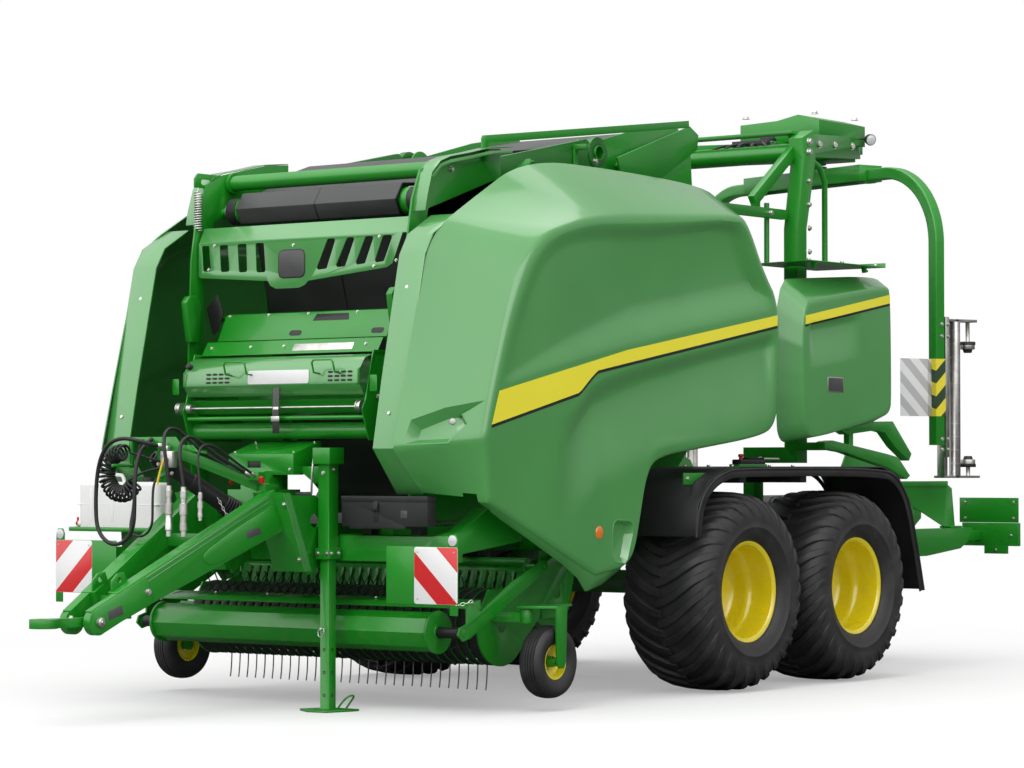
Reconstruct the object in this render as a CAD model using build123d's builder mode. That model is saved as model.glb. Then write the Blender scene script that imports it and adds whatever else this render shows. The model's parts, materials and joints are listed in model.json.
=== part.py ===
"""Round baler with a tandem axle and a bale wrapper: frame, chamber, pickup, gate, wrap table and arms.

Millimetres. X points forward to the hitch, Y to the machine's left and Z up. The floor under the
tyres is z = 0, and the origin is under the middle of the machine.
"""

from build123d import *

import math
import os

os.makedirs("parts", exist_ok=True)

# Overall places
HITCH_TIP_X = 4100
REAR_END_X = -4100

# Wheels on the tandem axle
TYRE_RADIUS = 595
TYRE_HALF_WIDTH = 305
RIM_SEAT_RADIUS = 286
WHEEL_Y = 1180
AXLE_X = {"front": -350, "rear": -1570}
SPINDLE_RADIUS = 45
RUNNING_GAP = 1

# Main frame and chamber
RAIL_IN, RAIL_OUT = 640, 720
RAIL_LOW, RAIL_TOP = 860, 1000
WALL_IN, WALL_OUT = 612, 624
BELT_HALF = 600
FRONT_PLATE_IN, FRONT_PLATE_OUT = 796, 808
BEAM_X = (2100, 2230)
BEAM_Z = (820, 965)

# Gate hinge
GATE_X, GATE_Z = 220, 3200

# Side shields
SHIELD_SIDE_Y, SHIELD_EDGE_Y = 1420, 1080
SHIELD_WALL = 8
SHIELD_HINGE_Y, SHIELD_HINGE_Z = 1050, 3050
SHIELD_HINGE_X = (620, 1300)
PANEL_HINGE_Y, PANEL_HINGE_Z = 1360, 2575
PANEL_HINGE_X = (-1800, -1200)

# Pickup
PICKUP_PIVOT = (1000, 800)
REEL_X, REEL_Z = 1580, 450
PICKUP_PLATE_IN, PICKUP_PLATE_OUT = 1060, 1072
GUARD_PIVOT = (1350, 780)
CROP_ROLLER_X, CROP_ROLLER_Z = 2075, 440
FEED_X, FEED_Z = 1020, 620
GAUGE_PIVOT_X, GAUGE_PIVOT_Y = 1640, 1290
GAUGE_X, GAUGE_Y, GAUGE_Z = 1550, 1370, 270
GAUGE_RADIUS = 200

# Parking jack
JACK_X, JACK_Y = 2290, 420

# Wrapper
ROTOR_X = -3340
ROTOR_REST_TURN = -18.9
ARM_RADIUS = 1310
TABLE_PIVOT = (-3560, 880)


# ---------------------------------------------------------------- shapes used by many sub-parts


def block(x, y, z, mode=Mode.ADD):
    """A box between two limits on each axis."""
    with Locations(((x[0] + x[1]) / 2, (y[0] + y[1]) / 2, (z[0] + z[1]) / 2)):
        Box(x[1] - x[0], y[1] - y[0], z[1] - z[0], mode=mode)


def side_plate(points, y0, y1, mode=Mode.ADD):
    """A plate whose outline is given as (x, z), from y0 to y1."""
    with BuildSketch(Plane.XZ.offset(-y1)) as sketch:
        with BuildLine():
            Polyline(*points, close=True)
        make_face()
    extrude(sketch.sketch, amount=y1 - y0, mode=mode)


def floor_plate(points, z0, z1, mode=Mode.ADD):
    """A plate whose outline is given as (x, y), from z0 to z1."""
    with BuildSketch(Plane.XY.offset(z0)) as sketch:
        with BuildLine():
            Polyline(*points, close=True)
        make_face()
    extrude(sketch.sketch, amount=z1 - z0, mode=mode)


def front_plate(points, x0, x1, mode=Mode.ADD):
    """A plate whose outline is given as (y, z), from x0 to x1."""
    with BuildSketch(Plane.YZ.offset(x0)) as sketch:
        with BuildLine():
            Polyline(*points, close=True)
        make_face()
    extrude(sketch.sketch, amount=x1 - x0, mode=mode)


def strip(path, thickness):
    """The outline of a bent sheet: the path and its offset to the right, with mitred corners."""
    inner = []
    for i, (x, z) in enumerate(path):
        ways = []
        if i > 0:
            ways.append((x - path[i - 1][0], z - path[i - 1][1]))
        if i < len(path) - 1:
            ways.append((path[i + 1][0] - x, path[i + 1][1] - z))
        normals = [(w[1] / math.hypot(*w), -w[0] / math.hypot(*w)) for w in ways]
        nx, nz = sum(n[0] for n in normals), sum(n[1] for n in normals)
        size = math.hypot(nx, nz)
        stretch = 1 / ((nx * normals[0][0] + nz * normals[0][1]) / size)
        inner.append((x + nx / size * thickness * stretch, z + nz / size * thickness * stretch))
    return list(path) + inner[::-1]


def rod_y(x, z, y0, y1, radius, mode=Mode.ADD):
    """A round bar across the machine."""
    with Locations(Location((x, (y0 + y1) / 2, z), (90, 0, 0))):
        Cylinder(radius, y1 - y0, mode=mode)


def rod_x(y, z, x0, x1, radius, mode=Mode.ADD):
    """A round bar along the machine."""
    with Locations(Location(((x0 + x1) / 2, y, z), (0, 90, 0))):
        Cylinder(radius, x1 - x0, mode=mode)


def rod_z(x, y, z0, z1, radius, mode=Mode.ADD):
    """An upright round bar."""
    with Locations((x, y, (z0 + z1) / 2)):
        Cylinder(radius, z1 - z0, mode=mode)


def beam(start, end, width, height, mode=Mode.ADD):
    """A straight box section between two points; its height stays in the upright plane."""
    start, end = Vector(*start), Vector(*end)
    along = (end - start).normalized()
    across = Vector(0, 0, 1).cross(along).normalized()
    with BuildSketch(Plane(origin=start, x_dir=across, z_dir=along)) as section:
        Rectangle(width, height)
    extrude(section.sketch, amount=(end - start).length, mode=mode)


def tapered_beam(start, end, width, start_height, end_height):
    """A straight box section whose height shrinks from its start to its end."""
    start, end = Vector(*start), Vector(*end)
    along = (end - start).normalized()
    across = Vector(0, 0, 1).cross(along).normalized()
    sections = []
    for point, height in ((start, start_height), (end, end_height)):
        with BuildSketch(Plane(origin=point, x_dir=across, z_dir=along)) as section:
            Rectangle(width, height)
        sections.append(section.sketch)
    loft(sections)


def tube(start, end, radius, mode=Mode.ADD):
    """A straight round tube between two points."""
    start, end = Vector(*start), Vector(*end)
    with BuildSketch(Plane(origin=start, z_dir=(end - start).normalized())) as section:
        Circle(radius)
    extrude(section.sketch, amount=(end - start).length, mode=mode)


def both_sides():
    """Adds the mirror image of all that the sub-part has so far on the machine's other side."""
    mirror(about=Plane.XZ)


def save(builder, name):
    """Labels a finished sub-part and writes its STEP file."""
    builder.part.label = name
    export_step(builder.part, f"parts/{name}.step")


# ---------------------------------------------------------------- wheels and axle


def axial_plane(x, y, z):
    """The plane through a wheel's axle: its x runs outboard along the axle, its y is the radius."""
    return Plane(origin=(x, y, z), x_dir=(0, math.copysign(1, y), 0), z_dir=(math.copysign(1, y), 0, 0))


for axle, axle_x in AXLE_X.items():
    for side, wheel_y in (("left", WHEEL_Y), ("right", -WHEEL_Y)):
        plane = axial_plane(axle_x, wheel_y, TYRE_RADIUS)
        turn = Axis((axle_x, wheel_y, TYRE_RADIUS), (0, 1, 0))

        with BuildPart() as tyre:
            with BuildSketch(plane):
                with BuildLine():
                    # bead, sidewall, crown, sidewall, bead
                    ThreePointArc((-235, 312), (-TYRE_HALF_WIDTH, 440), (-262, 572))
                    ThreePointArc((-262, 572), (0, TYRE_RADIUS), (262, 572))
                    ThreePointArc((262, 572), (TYRE_HALF_WIDTH, 440), (235, 312))
                    Polyline((235, 312), (220, RIM_SEAT_RADIUS), (-220, RIM_SEAT_RADIUS), (-235, 312))
                make_face()
            revolve(axis=turn)
        save(tyre, f"tyre_{axle}_{side}")

        # Rim section, as (outboard, radius): barrel with a drop centre, dished disc, hub and cap.
        with BuildPart() as rim:
            with BuildSketch(plane):
                with BuildLine():
                    Polyline(
                        (-248, 306), (-236, 306), (-236, 285), (-120, 285), (-90, 262), (60, 262),
                        (90, 285), (236, 285), (236, 306), (248, 306), (248, 276), (94, 274),
                        (64, 252), (-30, 252), (-52, 95), (-20, 95), (-20, 62), (34, 62), (40, 50),
                        (40, 0), (-24, 0), (-24, 45.1), (-170, 45.1), (-170, 80), (-66, 95), (-42, 252),
                        (-94, 252), (-124, 274), (-248, 276), close=True,
                    )
                make_face()
            revolve(axis=turn)
        save(rim, f"rim_{axle}_{side}")

MID_AXLE_X = (AXLE_X["front"] + AXLE_X["rear"]) / 2
with BuildPart() as axle_frame:
    side_plate(
        [(-180, 560), (-180, 640), (-400, 690), (-1520, 690), (-1740, 640), (-1740, 560), (-1480, 510), (-440, 510)],
        745, 835,
    )
    for x in AXLE_X.values():
        rod_y(x, TYRE_RADIUS, 835, 1000, 70)
        rod_y(x, TYRE_RADIUS, 835, 1180 - 26, SPINDLE_RADIUS)
    block((MID_AXLE_X - 75, MID_AXLE_X + 75), (0, 745), (540, 680))
    block((MID_AXLE_X - 110, MID_AXLE_X + 110), (RAIL_IN, RAIL_OUT), (680, RAIL_LOW))
    both_sides()
save(axle_frame, "axle_frame")

# ---------------------------------------------------------------- main frame and drawbar

RAIL_REAR_X = -2600
CROSS_MEMBERS = [(250, 370), (-1020, -900), (-2600, -2500)]
with BuildPart() as main_frame:
    block((RAIL_REAR_X, BEAM_X[0]), (RAIL_IN, RAIL_OUT), (RAIL_LOW, RAIL_TOP))
    for x in CROSS_MEMBERS:
        block(x, (0, RAIL_IN), (RAIL_LOW, RAIL_TOP - 20))
    # front beam with the arms that run back and up under the side shields
    block(BEAM_X, (0, 1210), BEAM_Z)
    side_plate([(2230, 840), (2230, 965), (2110, 985), (1880, 1110), (1570, 1030), (1570, 925), (2130, 862)], 1110, 1210)
    block((2230, 2484), (1010, 1060), (800, 880))
    both_sides()
    # shelf of the water tank
    block((2230, 2475), (-1400, -650), (965, 990))
save(main_frame, "main_frame")

HOSE_COMB = [
    (-246, 1474), (-246, 1496), (0, 1496), (40, 1452), (122, 1452), (160, 1420), (226, 1420), (226, 1404),
    (120, 1418), (30, 1420), (-62, 1400), (-70, 1250), (-128, 1250), (-128, 1462),
]
FLANGE_LEAN = [(2578, 1195), (2609, 1195), (2432, 765), (2401, 765)]
BRACKET_SIDE = [(2231, 1120), (2330, 1180), (2574, 1180), (2424, 814), (2380, 745), (2231, 822)]
with BuildPart() as drawbar_brackets:
    for y0, y1 in ((205, 217), (346, 358)):
        side_plate(BRACKET_SIDE, y0, y1)
    side_plate([(2234, 968), (2234, 1000), (2500, 980), (2500, 945)], 217, 346)
    side_plate(FLANGE_LEAN, 180, 400)
    with Locations(Location((2330, 352, 1040), (90, 0, 0))):
        Cylinder(38, 30, mode=Mode.SUBTRACT)
    both_sides()
    block((2230, 2242), (-205, 205), (965, 1000))
    # holder of the hoses and of the drive shaft
    block((2572, 2603), (190, 240), (1180, 1240))
    block((2490, 2603), (190, 240), (1200, 1240))
    beam((2500, 205, 1200), (3070, -66, 1440), 30, 60)
    # comb that the hoses hang over, with a plate for the couplings
    front_plate(HOSE_COMB, 3050, 3062)
    block((2590, 2642), (88, 225), (1262, 1306))
    # hook of the coiled cable
    front_plate([(-334, 1328), (-334, 1496), (-246, 1496), (-246, 1474), (-312, 1474), (-312, 1328)], 3050, 3062)
    rod_x(-322, 1342, 3062, 3208, 9)
save(drawbar_brackets, "drawbar_brackets")

PIN_X, PIN_Z = 3740, 531
with BuildPart() as drawbar:
    side_plate([(x + 31, z) for x, z in FLANGE_LEAN], 180, 400)
    tapered_beam((2450, 308, 1162), (3590, 95, 615), 86, 234, 142)
    tapered_beam((3440, 141, 687), (3762, 81, 533), 50, 150, 124)
    with Locations(Location((PIN_X, 110, PIN_Z), (90, 0, 0))):
        Cylinder(68, 46, align=(Align.CENTER, Align.CENTER, Align.MIN))
    side_plate([(3480, 540), (3560, 540), (3560, 660), (3480, 660)], 0, 90)
    # nothing of the beams reaches behind or above the flanges
    side_plate([(2300, 1400), (2700, 1400), (2609, 1195), (2432, 765), (2350, 600), (2300, 600)], 100, 420, mode=Mode.SUBTRACT)
    both_sides()
    rod_y(PIN_X, PIN_Z, -128, 128, 20)
    block((2830, 2930), (-240, 240), (905, 975))
save(drawbar, "drawbar")

with BuildPart() as hitch_eye:
    floor_plate(
        [(3640, -46), (3810, -46), (3860, -36), (3990, -34), (3990, 34), (3860, 36), (3810, 46), (3640, 46)],
        507, 555,
    )
    rod_z(HITCH_TIP_X - 74, 0, 507, 555, 74)
    rod_z(HITCH_TIP_X - 74, 0, 500, 562, 26, mode=Mode.SUBTRACT)
    rod_y(PIN_X, PIN_Z, -60, 60, 20.5, mode=Mode.SUBTRACT)
save(hitch_eye, "hitch_eye")

with BuildPart() as gearbox:
    block((2214, 2480), (-150, 150), (1000, 1210))
    block((2290, 2440), (-90, 90), (1210, 1312))
    with Locations(Location((2505, 0, 1060), (0, 90, 0))):
        Cylinder(75, 60)
    # folded sheet cover with a notch in its front
    side_plate([(2143, 1312), (2143, 1480), (2375, 1406), (2375, 1291), (2290, 1291), (2290, 1312)], -240, 240)
    side_plate([(2149, 1300), (2149, 1472), (2369, 1401), (2369, 1280)], -234, 234, mode=Mode.SUBTRACT)
    block((2360, 2380), (-98, 0), (1330, 1366), mode=Mode.SUBTRACT)
    block((2290, 2372), (-90, 90), (1311, 1320))
    side_plate([(2290, 1311), (2290, 1434), (2340, 1418), (2340, 1311)], -90, -30)
    side_plate([(2290, 1311), (2290, 1434), (2340, 1418), (2340, 1311)], 30, 90)
save(gearbox, "gearbox")

SHAFT_START, SHAFT_END = Vector(2576, 0, 1088), Vector(3030, -190, 1392)
with BuildPart() as pto_shaft:
    tube(SHAFT_START, SHAFT_START + (SHAFT_END - SHAFT_START) * 0.55, 62)
    tube(SHAFT_START, SHAFT_END, 46)
save(pto_shaft, "pto_shaft")

# ---------------------------------------------------------------- hoses on the holder


def route_line(points):
    """Adds a hose's centre line: straight runs joined by tangent arcs. Returns its length and radii."""
    corners = [Vector(*point) for point in points]
    start = corners[0]
    radii = []
    length = 0
    for before, corner, after in zip(corners, corners[1:], corners[2:]):
        back, ahead = before - corner, after - corner
        turn = math.pi - back.get_angle(ahead) * math.pi / 180
        reach = 0.45 * min(back.length, ahead.length)
        radius = reach / math.tan(turn / 2)
        entry = corner + back.normalized() * reach
        leave = corner + ahead.normalized() * reach
        inward = (back.normalized() + ahead.normalized()).normalized()
        middle = corner + inward * (radius / math.cos(turn / 2) - radius)
        Line(start, entry)
        ThreePointArc(entry, middle, leave)
        length += (entry - start).length + radius * turn
        start = leave
        radii.append(radius)
    Line(start, corners[-1])
    return length + (corners[-1] - start).length, radii


# columns: name, outer radius, route; each hangs over the comb and ends in its coupling
HANGING_HOSES = [
    ("hose_pressure", 10, [
        (2640, 110, 1290), (2730, 76, 1334), (2818, 42, 1384), (2900, 10, 1440), (2962, -14, 1500),
        (3018, -26, 1538), (3082, -20, 1542), (3134, -6, 1512), (3160, 12, 1458), (3162, 26, 1394),
        (3156, 36, 1314), (3150, 42, 1235),
    ]),
    ("hose_return", 10, [
        (2640, 154, 1290), (2730, 134, 1336), (2818, 112, 1382), (2896, 94, 1430), (2952, 84, 1470),
        (3012, 80, 1496), (3074, 86, 1490), (3122, 98, 1452), (3144, 112, 1396), (3146, 126, 1330),
        (3142, 142, 1228),
    ]),
    ("hose_brake", 7, [
        (2640, 200, 1287), (2730, 194, 1330), (2816, 190, 1376), (2890, 188, 1416), (2952, 190, 1442),
        (3010, 194, 1454), (3066, 202, 1444), (3106, 214, 1408), (3124, 226, 1354), (3126, 238, 1284),
        (3124, 246, 1200),
    ]),
]
for name, radius, route in HANGING_HOSES:
    with BuildPart() as hose:
        with BuildLine() as centre:
            length, radii = route_line(route)
        with BuildSketch(Plane(origin=centre.line @ 0, z_dir=centre.line % 0)) as section:
            Circle(radius)
        sweep(sections=section.sketch, path=centre.line)
    print(name, "volume ratio", round(hose.part.volume / (math.pi * radius**2 * length), 4))
    print(name, "length", round(length), "radii", [round(value) for value in radii])
    save(hose, name)

# columns: name, outer radius, route; each hangs in a loop from the comb's plate
HOSE_LOOPS = [
    ("hose_loop", 11, [
        (3062, -92, 1446), (3124, -98, 1452), (3182, -134, 1470), (3220, -196, 1488), (3228, -270, 1484),
        (3226, -338, 1456), (3222, -390, 1398), (3220, -420, 1318), (3220, -432, 1220), (3220, -434, 1120),
        (3220, -428, 1022), (3220, -390, 957), (3220, -325, 919), (3220, -249, 919), (3220, -184, 957),
        (3220, -150, 1022), (3218, -146, 1104), (3216, -148, 1196), (3208, -152, 1290), (3186, -158, 1376),
        (3136, -166, 1444), (3062, -172, 1485),
    ]),
    ("cable_loop", 7, [
        (3062, -88, 1290), (3104, -85, 1282), (3136, -82, 1246), (3148, -79, 1192), (3150, -78, 1130),
        (3150, -78, 1066), (3150, -82, 1026), (3150, -108, 984), (3148, -154, 962), (3144, -206, 962),
        (3136, -252, 982), (3116, -278, 1022), (3090, -286, 1082), (3076, -287, 1170), (3075, -284, 1262),
        (3075, -276, 1350), (3074, -262, 1424), (3062, -234, 1482),
    ]),
]
for name, radius, route in HOSE_LOOPS:
    with BuildPart() as hose:
        with BuildLine() as centre:
            length, radii = route_line(route)
        with BuildSketch(Plane(origin=centre.line @ 0, z_dir=centre.line % 0)) as section:
            Circle(radius)
        sweep(sections=section.sketch, path=centre.line)
    print(name, "volume ratio", round(hose.part.volume / (math.pi * radius**2 * length), 4))
    print(name, "length", round(length), "radii", [round(value) for value in radii])
    save(hose, name)

# The coiled electric cable hangs as an open ring on its hook: outer shape of the coil, and its two ends.
COIL_CENTRE, COIL_RING, COIL_RADIUS = (3145, -314, 1300), 111, 51
COIL_ENDS = [
    [(3145, -295, 1409), (3145, -240, 1412), (3132, -182, 1396), (3100, -138, 1376), (3062, -108, 1364)],
    [(3145, -218, 1245), (3144, -192, 1284), (3128, -154, 1312), (3098, -122, 1326), (3062, -104, 1330)],
]
with BuildPart() as cable_coil:
    with BuildLine(Plane(origin=COIL_CENTRE, x_dir=(0, 1, 0), z_dir=(1, 0, 0))) as ring:
        CenterArc((0, 0), COIL_RING, 80, 250)
    with BuildSketch(Plane(origin=ring.line @ 0, z_dir=ring.line % 0)) as ring_section:
        Circle(COIL_RADIUS)
    sweep(sections=ring_section.sketch, path=ring.line)
    for route in COIL_ENDS:
        with BuildLine() as end_line:
            length, radii = route_line(route)
        with BuildSketch(Plane(origin=end_line.line @ 0, z_dir=end_line.line % 0)) as end_section:
            Circle(7)
        sweep(sections=end_section.sketch, path=end_line.line)
        print("cable_coil end length", round(length), "radii", [round(value) for value in radii])
save(cable_coil, "cable_coil")

# Couplings at the hoses' lower ends: columns y, x, top z, bottom z, radius
COUPLINGS = [(42, 3150, 1235, 965, 14), (142, 3142, 1228, 965, 14), (246, 3124, 1200, 1050, 10)]
with BuildPart() as couplings:
    for y, x, top, bottom, radius in COUPLINGS:
        rod_z(x, y, bottom, top, radius)
save(couplings, "couplings")

# ---------------------------------------------------------------- things on the front beam

with BuildPart() as jack_tube:
    block((JACK_X - 40, JACK_X + 40), (JACK_Y - 40, JACK_Y + 40), (860, 1396))
    block((JACK_X - 52, JACK_X + 52), (JACK_Y - 52, JACK_Y + 52), (830, 892))
    block((JACK_X - 62, JACK_X + 62), (JACK_Y - 62, JACK_Y + 62), (1350, 1440))
    block((JACK_X - 33, JACK_X + 33), (JACK_Y - 33, JACK_Y + 33), (820, 1385), mode=Mode.SUBTRACT)
    block((BEAM_X[1], JACK_X - 40), (JACK_Y - 30, JACK_Y + 30), (835, 955))
save(jack_tube, "jack_tube")

with BuildPart() as jack_leg:
    block((JACK_X - 31, JACK_X + 31), (JACK_Y - 31, JACK_Y + 31), (12, 1000))
    block((JACK_X - 24, JACK_X + 24), (JACK_Y - 24, JACK_Y + 24), (20, 1010), mode=Mode.SUBTRACT)
    floor_plate([(2180, 330), (2344, 263), (2420, 380), (2400, 500), (2250, 545), (2180, 552)], 0, 12)
save(jack_leg, "jack_leg")

with BuildPart() as toolbox:
    block((2256, 2330), (550, 1150), (1014, 1176))
    chamfer(toolbox.edges().filter_by(Axis.Y).group_by(Axis.Z)[-1], 8)
    block((2140, 2330), (600, 1000), (1000, 1014))
    for y in (600, 940):
        block((2140, 2210), (y, y + 60), (BEAM_Z[1], 1000))
save(toolbox, "toolbox")

with BuildPart() as water_tank:
    block((2352, 2470), (-1330, -700), (990, 1250))
    fillet(water_tank.edges().filter_by(Axis.Z), 40)
    fillet(water_tank.faces().sort_by(Axis.Z)[-1].edges(), 25)
    rod_y(2430, 1010, -1352, -1310, 18)
save(water_tank, "water_tank")

# ---------------------------------------------------------------- bale chamber

CHAMBER_SIDE = [
    (100, 1060), (90, 2950), (340, 3060), (340, 3170), (1250, 3040), (1600, 2955), (1700, 2880),
    (1700, 2700), (1640, 2250), (1500, 1750), (1230, 1250), (1000, 1060),
]
LUG_SIDE = [(1240, 2960), (1240, 3090), (330, 3275), (200, 3200), (260, 3110)]
with BuildPart() as chamber_walls:
    side_plate(CHAMBER_SIDE, WALL_IN, WALL_OUT)
    # gate hinge lug
    side_plate(LUG_SIDE, 700, 738)
    rod_y(GATE_X, GATE_Z, 700, 746, 95)
    rod_y(GATE_X, GATE_Z, 690, 760, 46.1, mode=Mode.SUBTRACT)
    for x, z in ((450, 3120), (1100, 3020)):
        rod_y(x, z, WALL_OUT, 700, 25)
    for x, z in ((1450, 1500), (1450, 2800)):
        rod_y(x, z, WALL_OUT, FRONT_PLATE_IN, 30)
    block((300, 900), (WALL_OUT, RAIL_IN + 20), (RAIL_TOP, 1080))
    block((300, 900), (WALL_IN, WALL_OUT), (RAIL_TOP, 1080))
    both_sides()
    for x, z in ((500, 1100), (1560, 2520)):
        rod_y(x, z, -WALL_IN, WALL_IN, 40)
save(chamber_walls, "chamber_walls")

FRONT_FRAME_SIDE = [
    (1250, 1010), (2040, 1060), (2060, 1200), (2110, 1500), (2110, 1950), (2090, 2520),
    (2040, 2800), (1970, 2970), (1810, 3040), (1450, 3120), (1250, 3140),
]
FRONT_FRAME_WINDOW = [(1400, 1200), (1920, 1200), (1990, 1500), (1980, 2400), (1900, 2760), (1400, 2900)]
with BuildPart() as front_frames:
    side_plate(FRONT_FRAME_SIDE, FRONT_PLATE_IN, FRONT_PLATE_OUT)
    side_plate(FRONT_FRAME_WINDOW, FRONT_PLATE_IN - 1, FRONT_PLATE_OUT + 1, mode=Mode.SUBTRACT)
    for x, z in ((1450, 1500), (1450, 2800)):
        rod_y(x, z, FRONT_PLATE_IN, FRONT_PLATE_OUT, 45)
    block((1260, 1300), (FRONT_PLATE_OUT, 930), (2900, 2960))
    # side rail that carries the shield hinges, tied back to the mast
    block((-1498, 1300), (930, 980), (2900, 2960))
    block((600, 640), (739, 930), (2990, 3030))
    block((600, 640), (900, 930), (2900, 3030))
    # brackets and pins of the side shield's hinges
    for x in SHIELD_HINGE_X:
        front_plate([(932, 2955), (975, 2955), (1066, 3036), (1066, 3064), (1036, 3064), (932, 2995)], x, x + 10)
        rod_x(SHIELD_HINGE_Y, SHIELD_HINGE_Z, x - 34, x, 9)
    both_sides()
    # long bar over the left of the chamber, on two posts
    beam((1430, 828, 3178), (-600, 828, 3436), 24, 44)
    block((1400, 1430), (FRONT_PLATE_OUT, 838), (3060, 3190))
    block((440, 470), (742, 838), (3200, 3230))
    block((440, 470), (742, 760), (3030, 3230))
    block((440, 640), (742, 838), (2990, 3030))
    rod_y(1750, 2992, -FRONT_PLATE_IN, FRONT_PLATE_IN, 45)
    # fixed front belt roller
    rod_y(1815, 2818, -640, 640, 78)
    rod_y(1815, 2818, -FRONT_PLATE_IN, FRONT_PLATE_IN, 24)
    # idler roller that lifts the belts behind the tube
    rod_y(1335, 3040, -BELT_HALF, BELT_HALF, 40)
    rod_y(1335, 3040, -FRONT_PLATE_IN, FRONT_PLATE_IN, 14)
save(front_frames, "front_frames")

ROOT_BELT_PATH = [
    (340, 3240), (1290, 3118), (1400, 3082), (1730, 2926), (1872, 2916), (1932, 2822), (1890, 2740),
    (1760, 2690), (1640, 2250), (1500, 1750), (1230, 1250), (1000, 1130),
]
with BuildPart() as front_belts:
    side_plate(strip(ROOT_BELT_PATH, 18), -BELT_HALF, BELT_HALF)
save(front_belts, "front_belts")

GRILLE_OUTLINE = [
    (-780, 2626), (746, 2626), (672, 2455), (632, 2434), (57, 2380), (31, 2357), (-12, 2343),
    (-184, 2343), (-228, 2362), (-244, 2389), (-766, 2424), (-780, 2436),
]
GRILLE_SLOTS = [
    [(-756, 2608), (-699, 2608), (-684, 2460), (-744, 2460)],
    [(-617, 2608), (-553, 2608), (-541, 2453), (-607, 2453)],
    [(-479, 2608), (-410, 2608), (-403, 2446), (-467, 2446)],
    [(-341, 2608), (-277, 2608), (-262, 2440), (-332, 2441)],
    [(201, 2610), (262, 2610), (194, 2443), (114, 2438)],
    [(344, 2610), (402, 2611), (330, 2451), (255, 2446)],
    [(478, 2611), (540, 2611), (474, 2461), (400, 2455)],
    [(604, 2611), (675, 2612), (611, 2468), (540, 2462)],
]
with BuildPart() as grille_panel:
    side_plate(strip([(2000, 2712), (2044, 2622)], 5), -780, 780)
    front_plate(GRILLE_OUTLINE, 2041, 2046)
    for corners in GRILLE_SLOTS:
        with BuildSketch(Plane.YZ.offset(2020)) as slot:
            with BuildLine():
                Polyline(*corners, close=True)
            make_face()
            fillet(slot.vertices(), 13)
        extrude(slot.sketch, amount=60, mode=Mode.SUBTRACT)
save(grille_panel, "grille_panel")

NET_TROUGH = [(1830, 1950), (1830, 1690), (1950, 1615), (2170, 1640), (2225, 1712)]
with BuildPart() as net_box:
    side_plate([(1800, 1975), (2200, 1975), (2215, 1930), (2270, 1700), (2300, 1650), (2240, 1480), (1800, 1480)], 662, 670)
    rod_y(2188, 1944, 660, 672, 8.1, mode=Mode.SUBTRACT)
    for x, z in ((1860, 1880), (1860, 1560)):
        rod_y(x, z, 670, FRONT_PLATE_IN, 20)
    both_sides()
    side_plate(strip(NET_TROUGH, 6), -662, 662)
    rod_y(2272, 1664, -662, 662, 9)
    rod_y(2170, 1535, -662, 662, 45)
    # upper flap over the net entry, on its own rod
    side_plate(strip([(1930, 2214), (1970, 2208), (2045, 2055), (2022, 2035)], 5), -630, 630)
    rod_y(1935, 2190, -FRONT_PLATE_IN, FRONT_PLATE_IN, 14)
save(net_box, "net_box")

LID_PATH = [(2196, 1952), (2255, 1932), (2300, 1870), (2305, 1790), (2262, 1730)]
with BuildPart() as net_lid:
    side_plate(strip(LID_PATH, 5), -652, 652)
    rod_y(2188, 1944, -668, 668, 8)
save(net_lid, "net_lid")

# ---------------------------------------------------------------- gate

GATE_SIDE = [
    (60, 1300), (60, 3000), (140, 3100), (150, 3270), (-300, 3385), (-760, 3465), (-930, 3330),
    (-990, 2600), (-1040, 2000), (-880, 1420), (-520, 1085), (-60, 1030),
]
GATE_BELT_PATH = [
    (-40, 1060), (-505, 1115), (-850, 1440), (-1005, 2000), (-960, 2600), (-900, 3310), (-745, 3430),
    (-300, 3350), (120, 3244),
]
GATE_ARM = [(-20, 3195), (-790, 3448), (-885, 3400), (-872, 3310), (-500, 3110), (-60, 3080)]
with BuildPart() as gate_frame:
    side_plate(GATE_SIDE, WALL_IN, WALL_OUT)
    rod_y(GATE_X, GATE_Z, WALL_IN, WALL_OUT, 92)
    rod_y(GATE_X, GATE_Z, WALL_OUT, 758, 46)
    rod_y(GATE_X, GATE_Z, WALL_OUT + 10, 770, 38, mode=Mode.SUBTRACT)
    side_plate(GATE_ARM, 702, 717)
    for x, z in ((-150, 3160), (-780, 3380)):
        rod_y(x, z, WALL_OUT, 702, 24)
    both_sides()
    for x, z in ((-90, 1130), (-800, 1500), (-880, 3200)):
        rod_y(x, z, -WALL_IN, WALL_IN, 38)
save(gate_frame, "gate_frame")

with BuildPart() as gate_belts:
    side_plate(strip(GATE_BELT_PATH, 18), -BELT_HALF, BELT_HALF)
    for x, z in ((-90, 1130), (-800, 1500), (-880, 3200)):
        rod_y(x, z, -BELT_HALF - 5, BELT_HALF + 5, 40, mode=Mode.SUBTRACT)
save(gate_belts, "gate_belts")

# ---------------------------------------------------------------- side shields and rear panels

# Shield outline as (x, z) on its side face and, in step, on its front, top and rear edges.
# columns: side face x, z, edge x, z
SHIELD_OUTLINE = [
    (2175, 1480, 2530, 1430), (2090, 1800, 2440, 1800), (1890, 2250, 2310, 2300), (1680, 2560, 2210, 2600),
    (1280, 2700, 1860, 2800), (910, 2750, 1380, 3060), (250, 2790, 500, 3060), (-280, 2830, -450, 3025),
    (-390, 2780, -560, 2930), (-560, 2500, -750, 2520), (-730, 2320, -900, 2330), (-710, 1770, -880, 1780),
    (-540, 1480, -700, 1500), (120, 1420, 120, 1440), (570, 1340, 590, 1360), (660, 1270, 690, 1290),
    (750, 1020, 780, 1040), (820, 820, 850, 850), (910, 740, 940, 770), (1280, 650, 1300, 690),
    (1840, 930, 1830, 1000), (2140, 1160, 2280, 1190),
]


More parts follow.
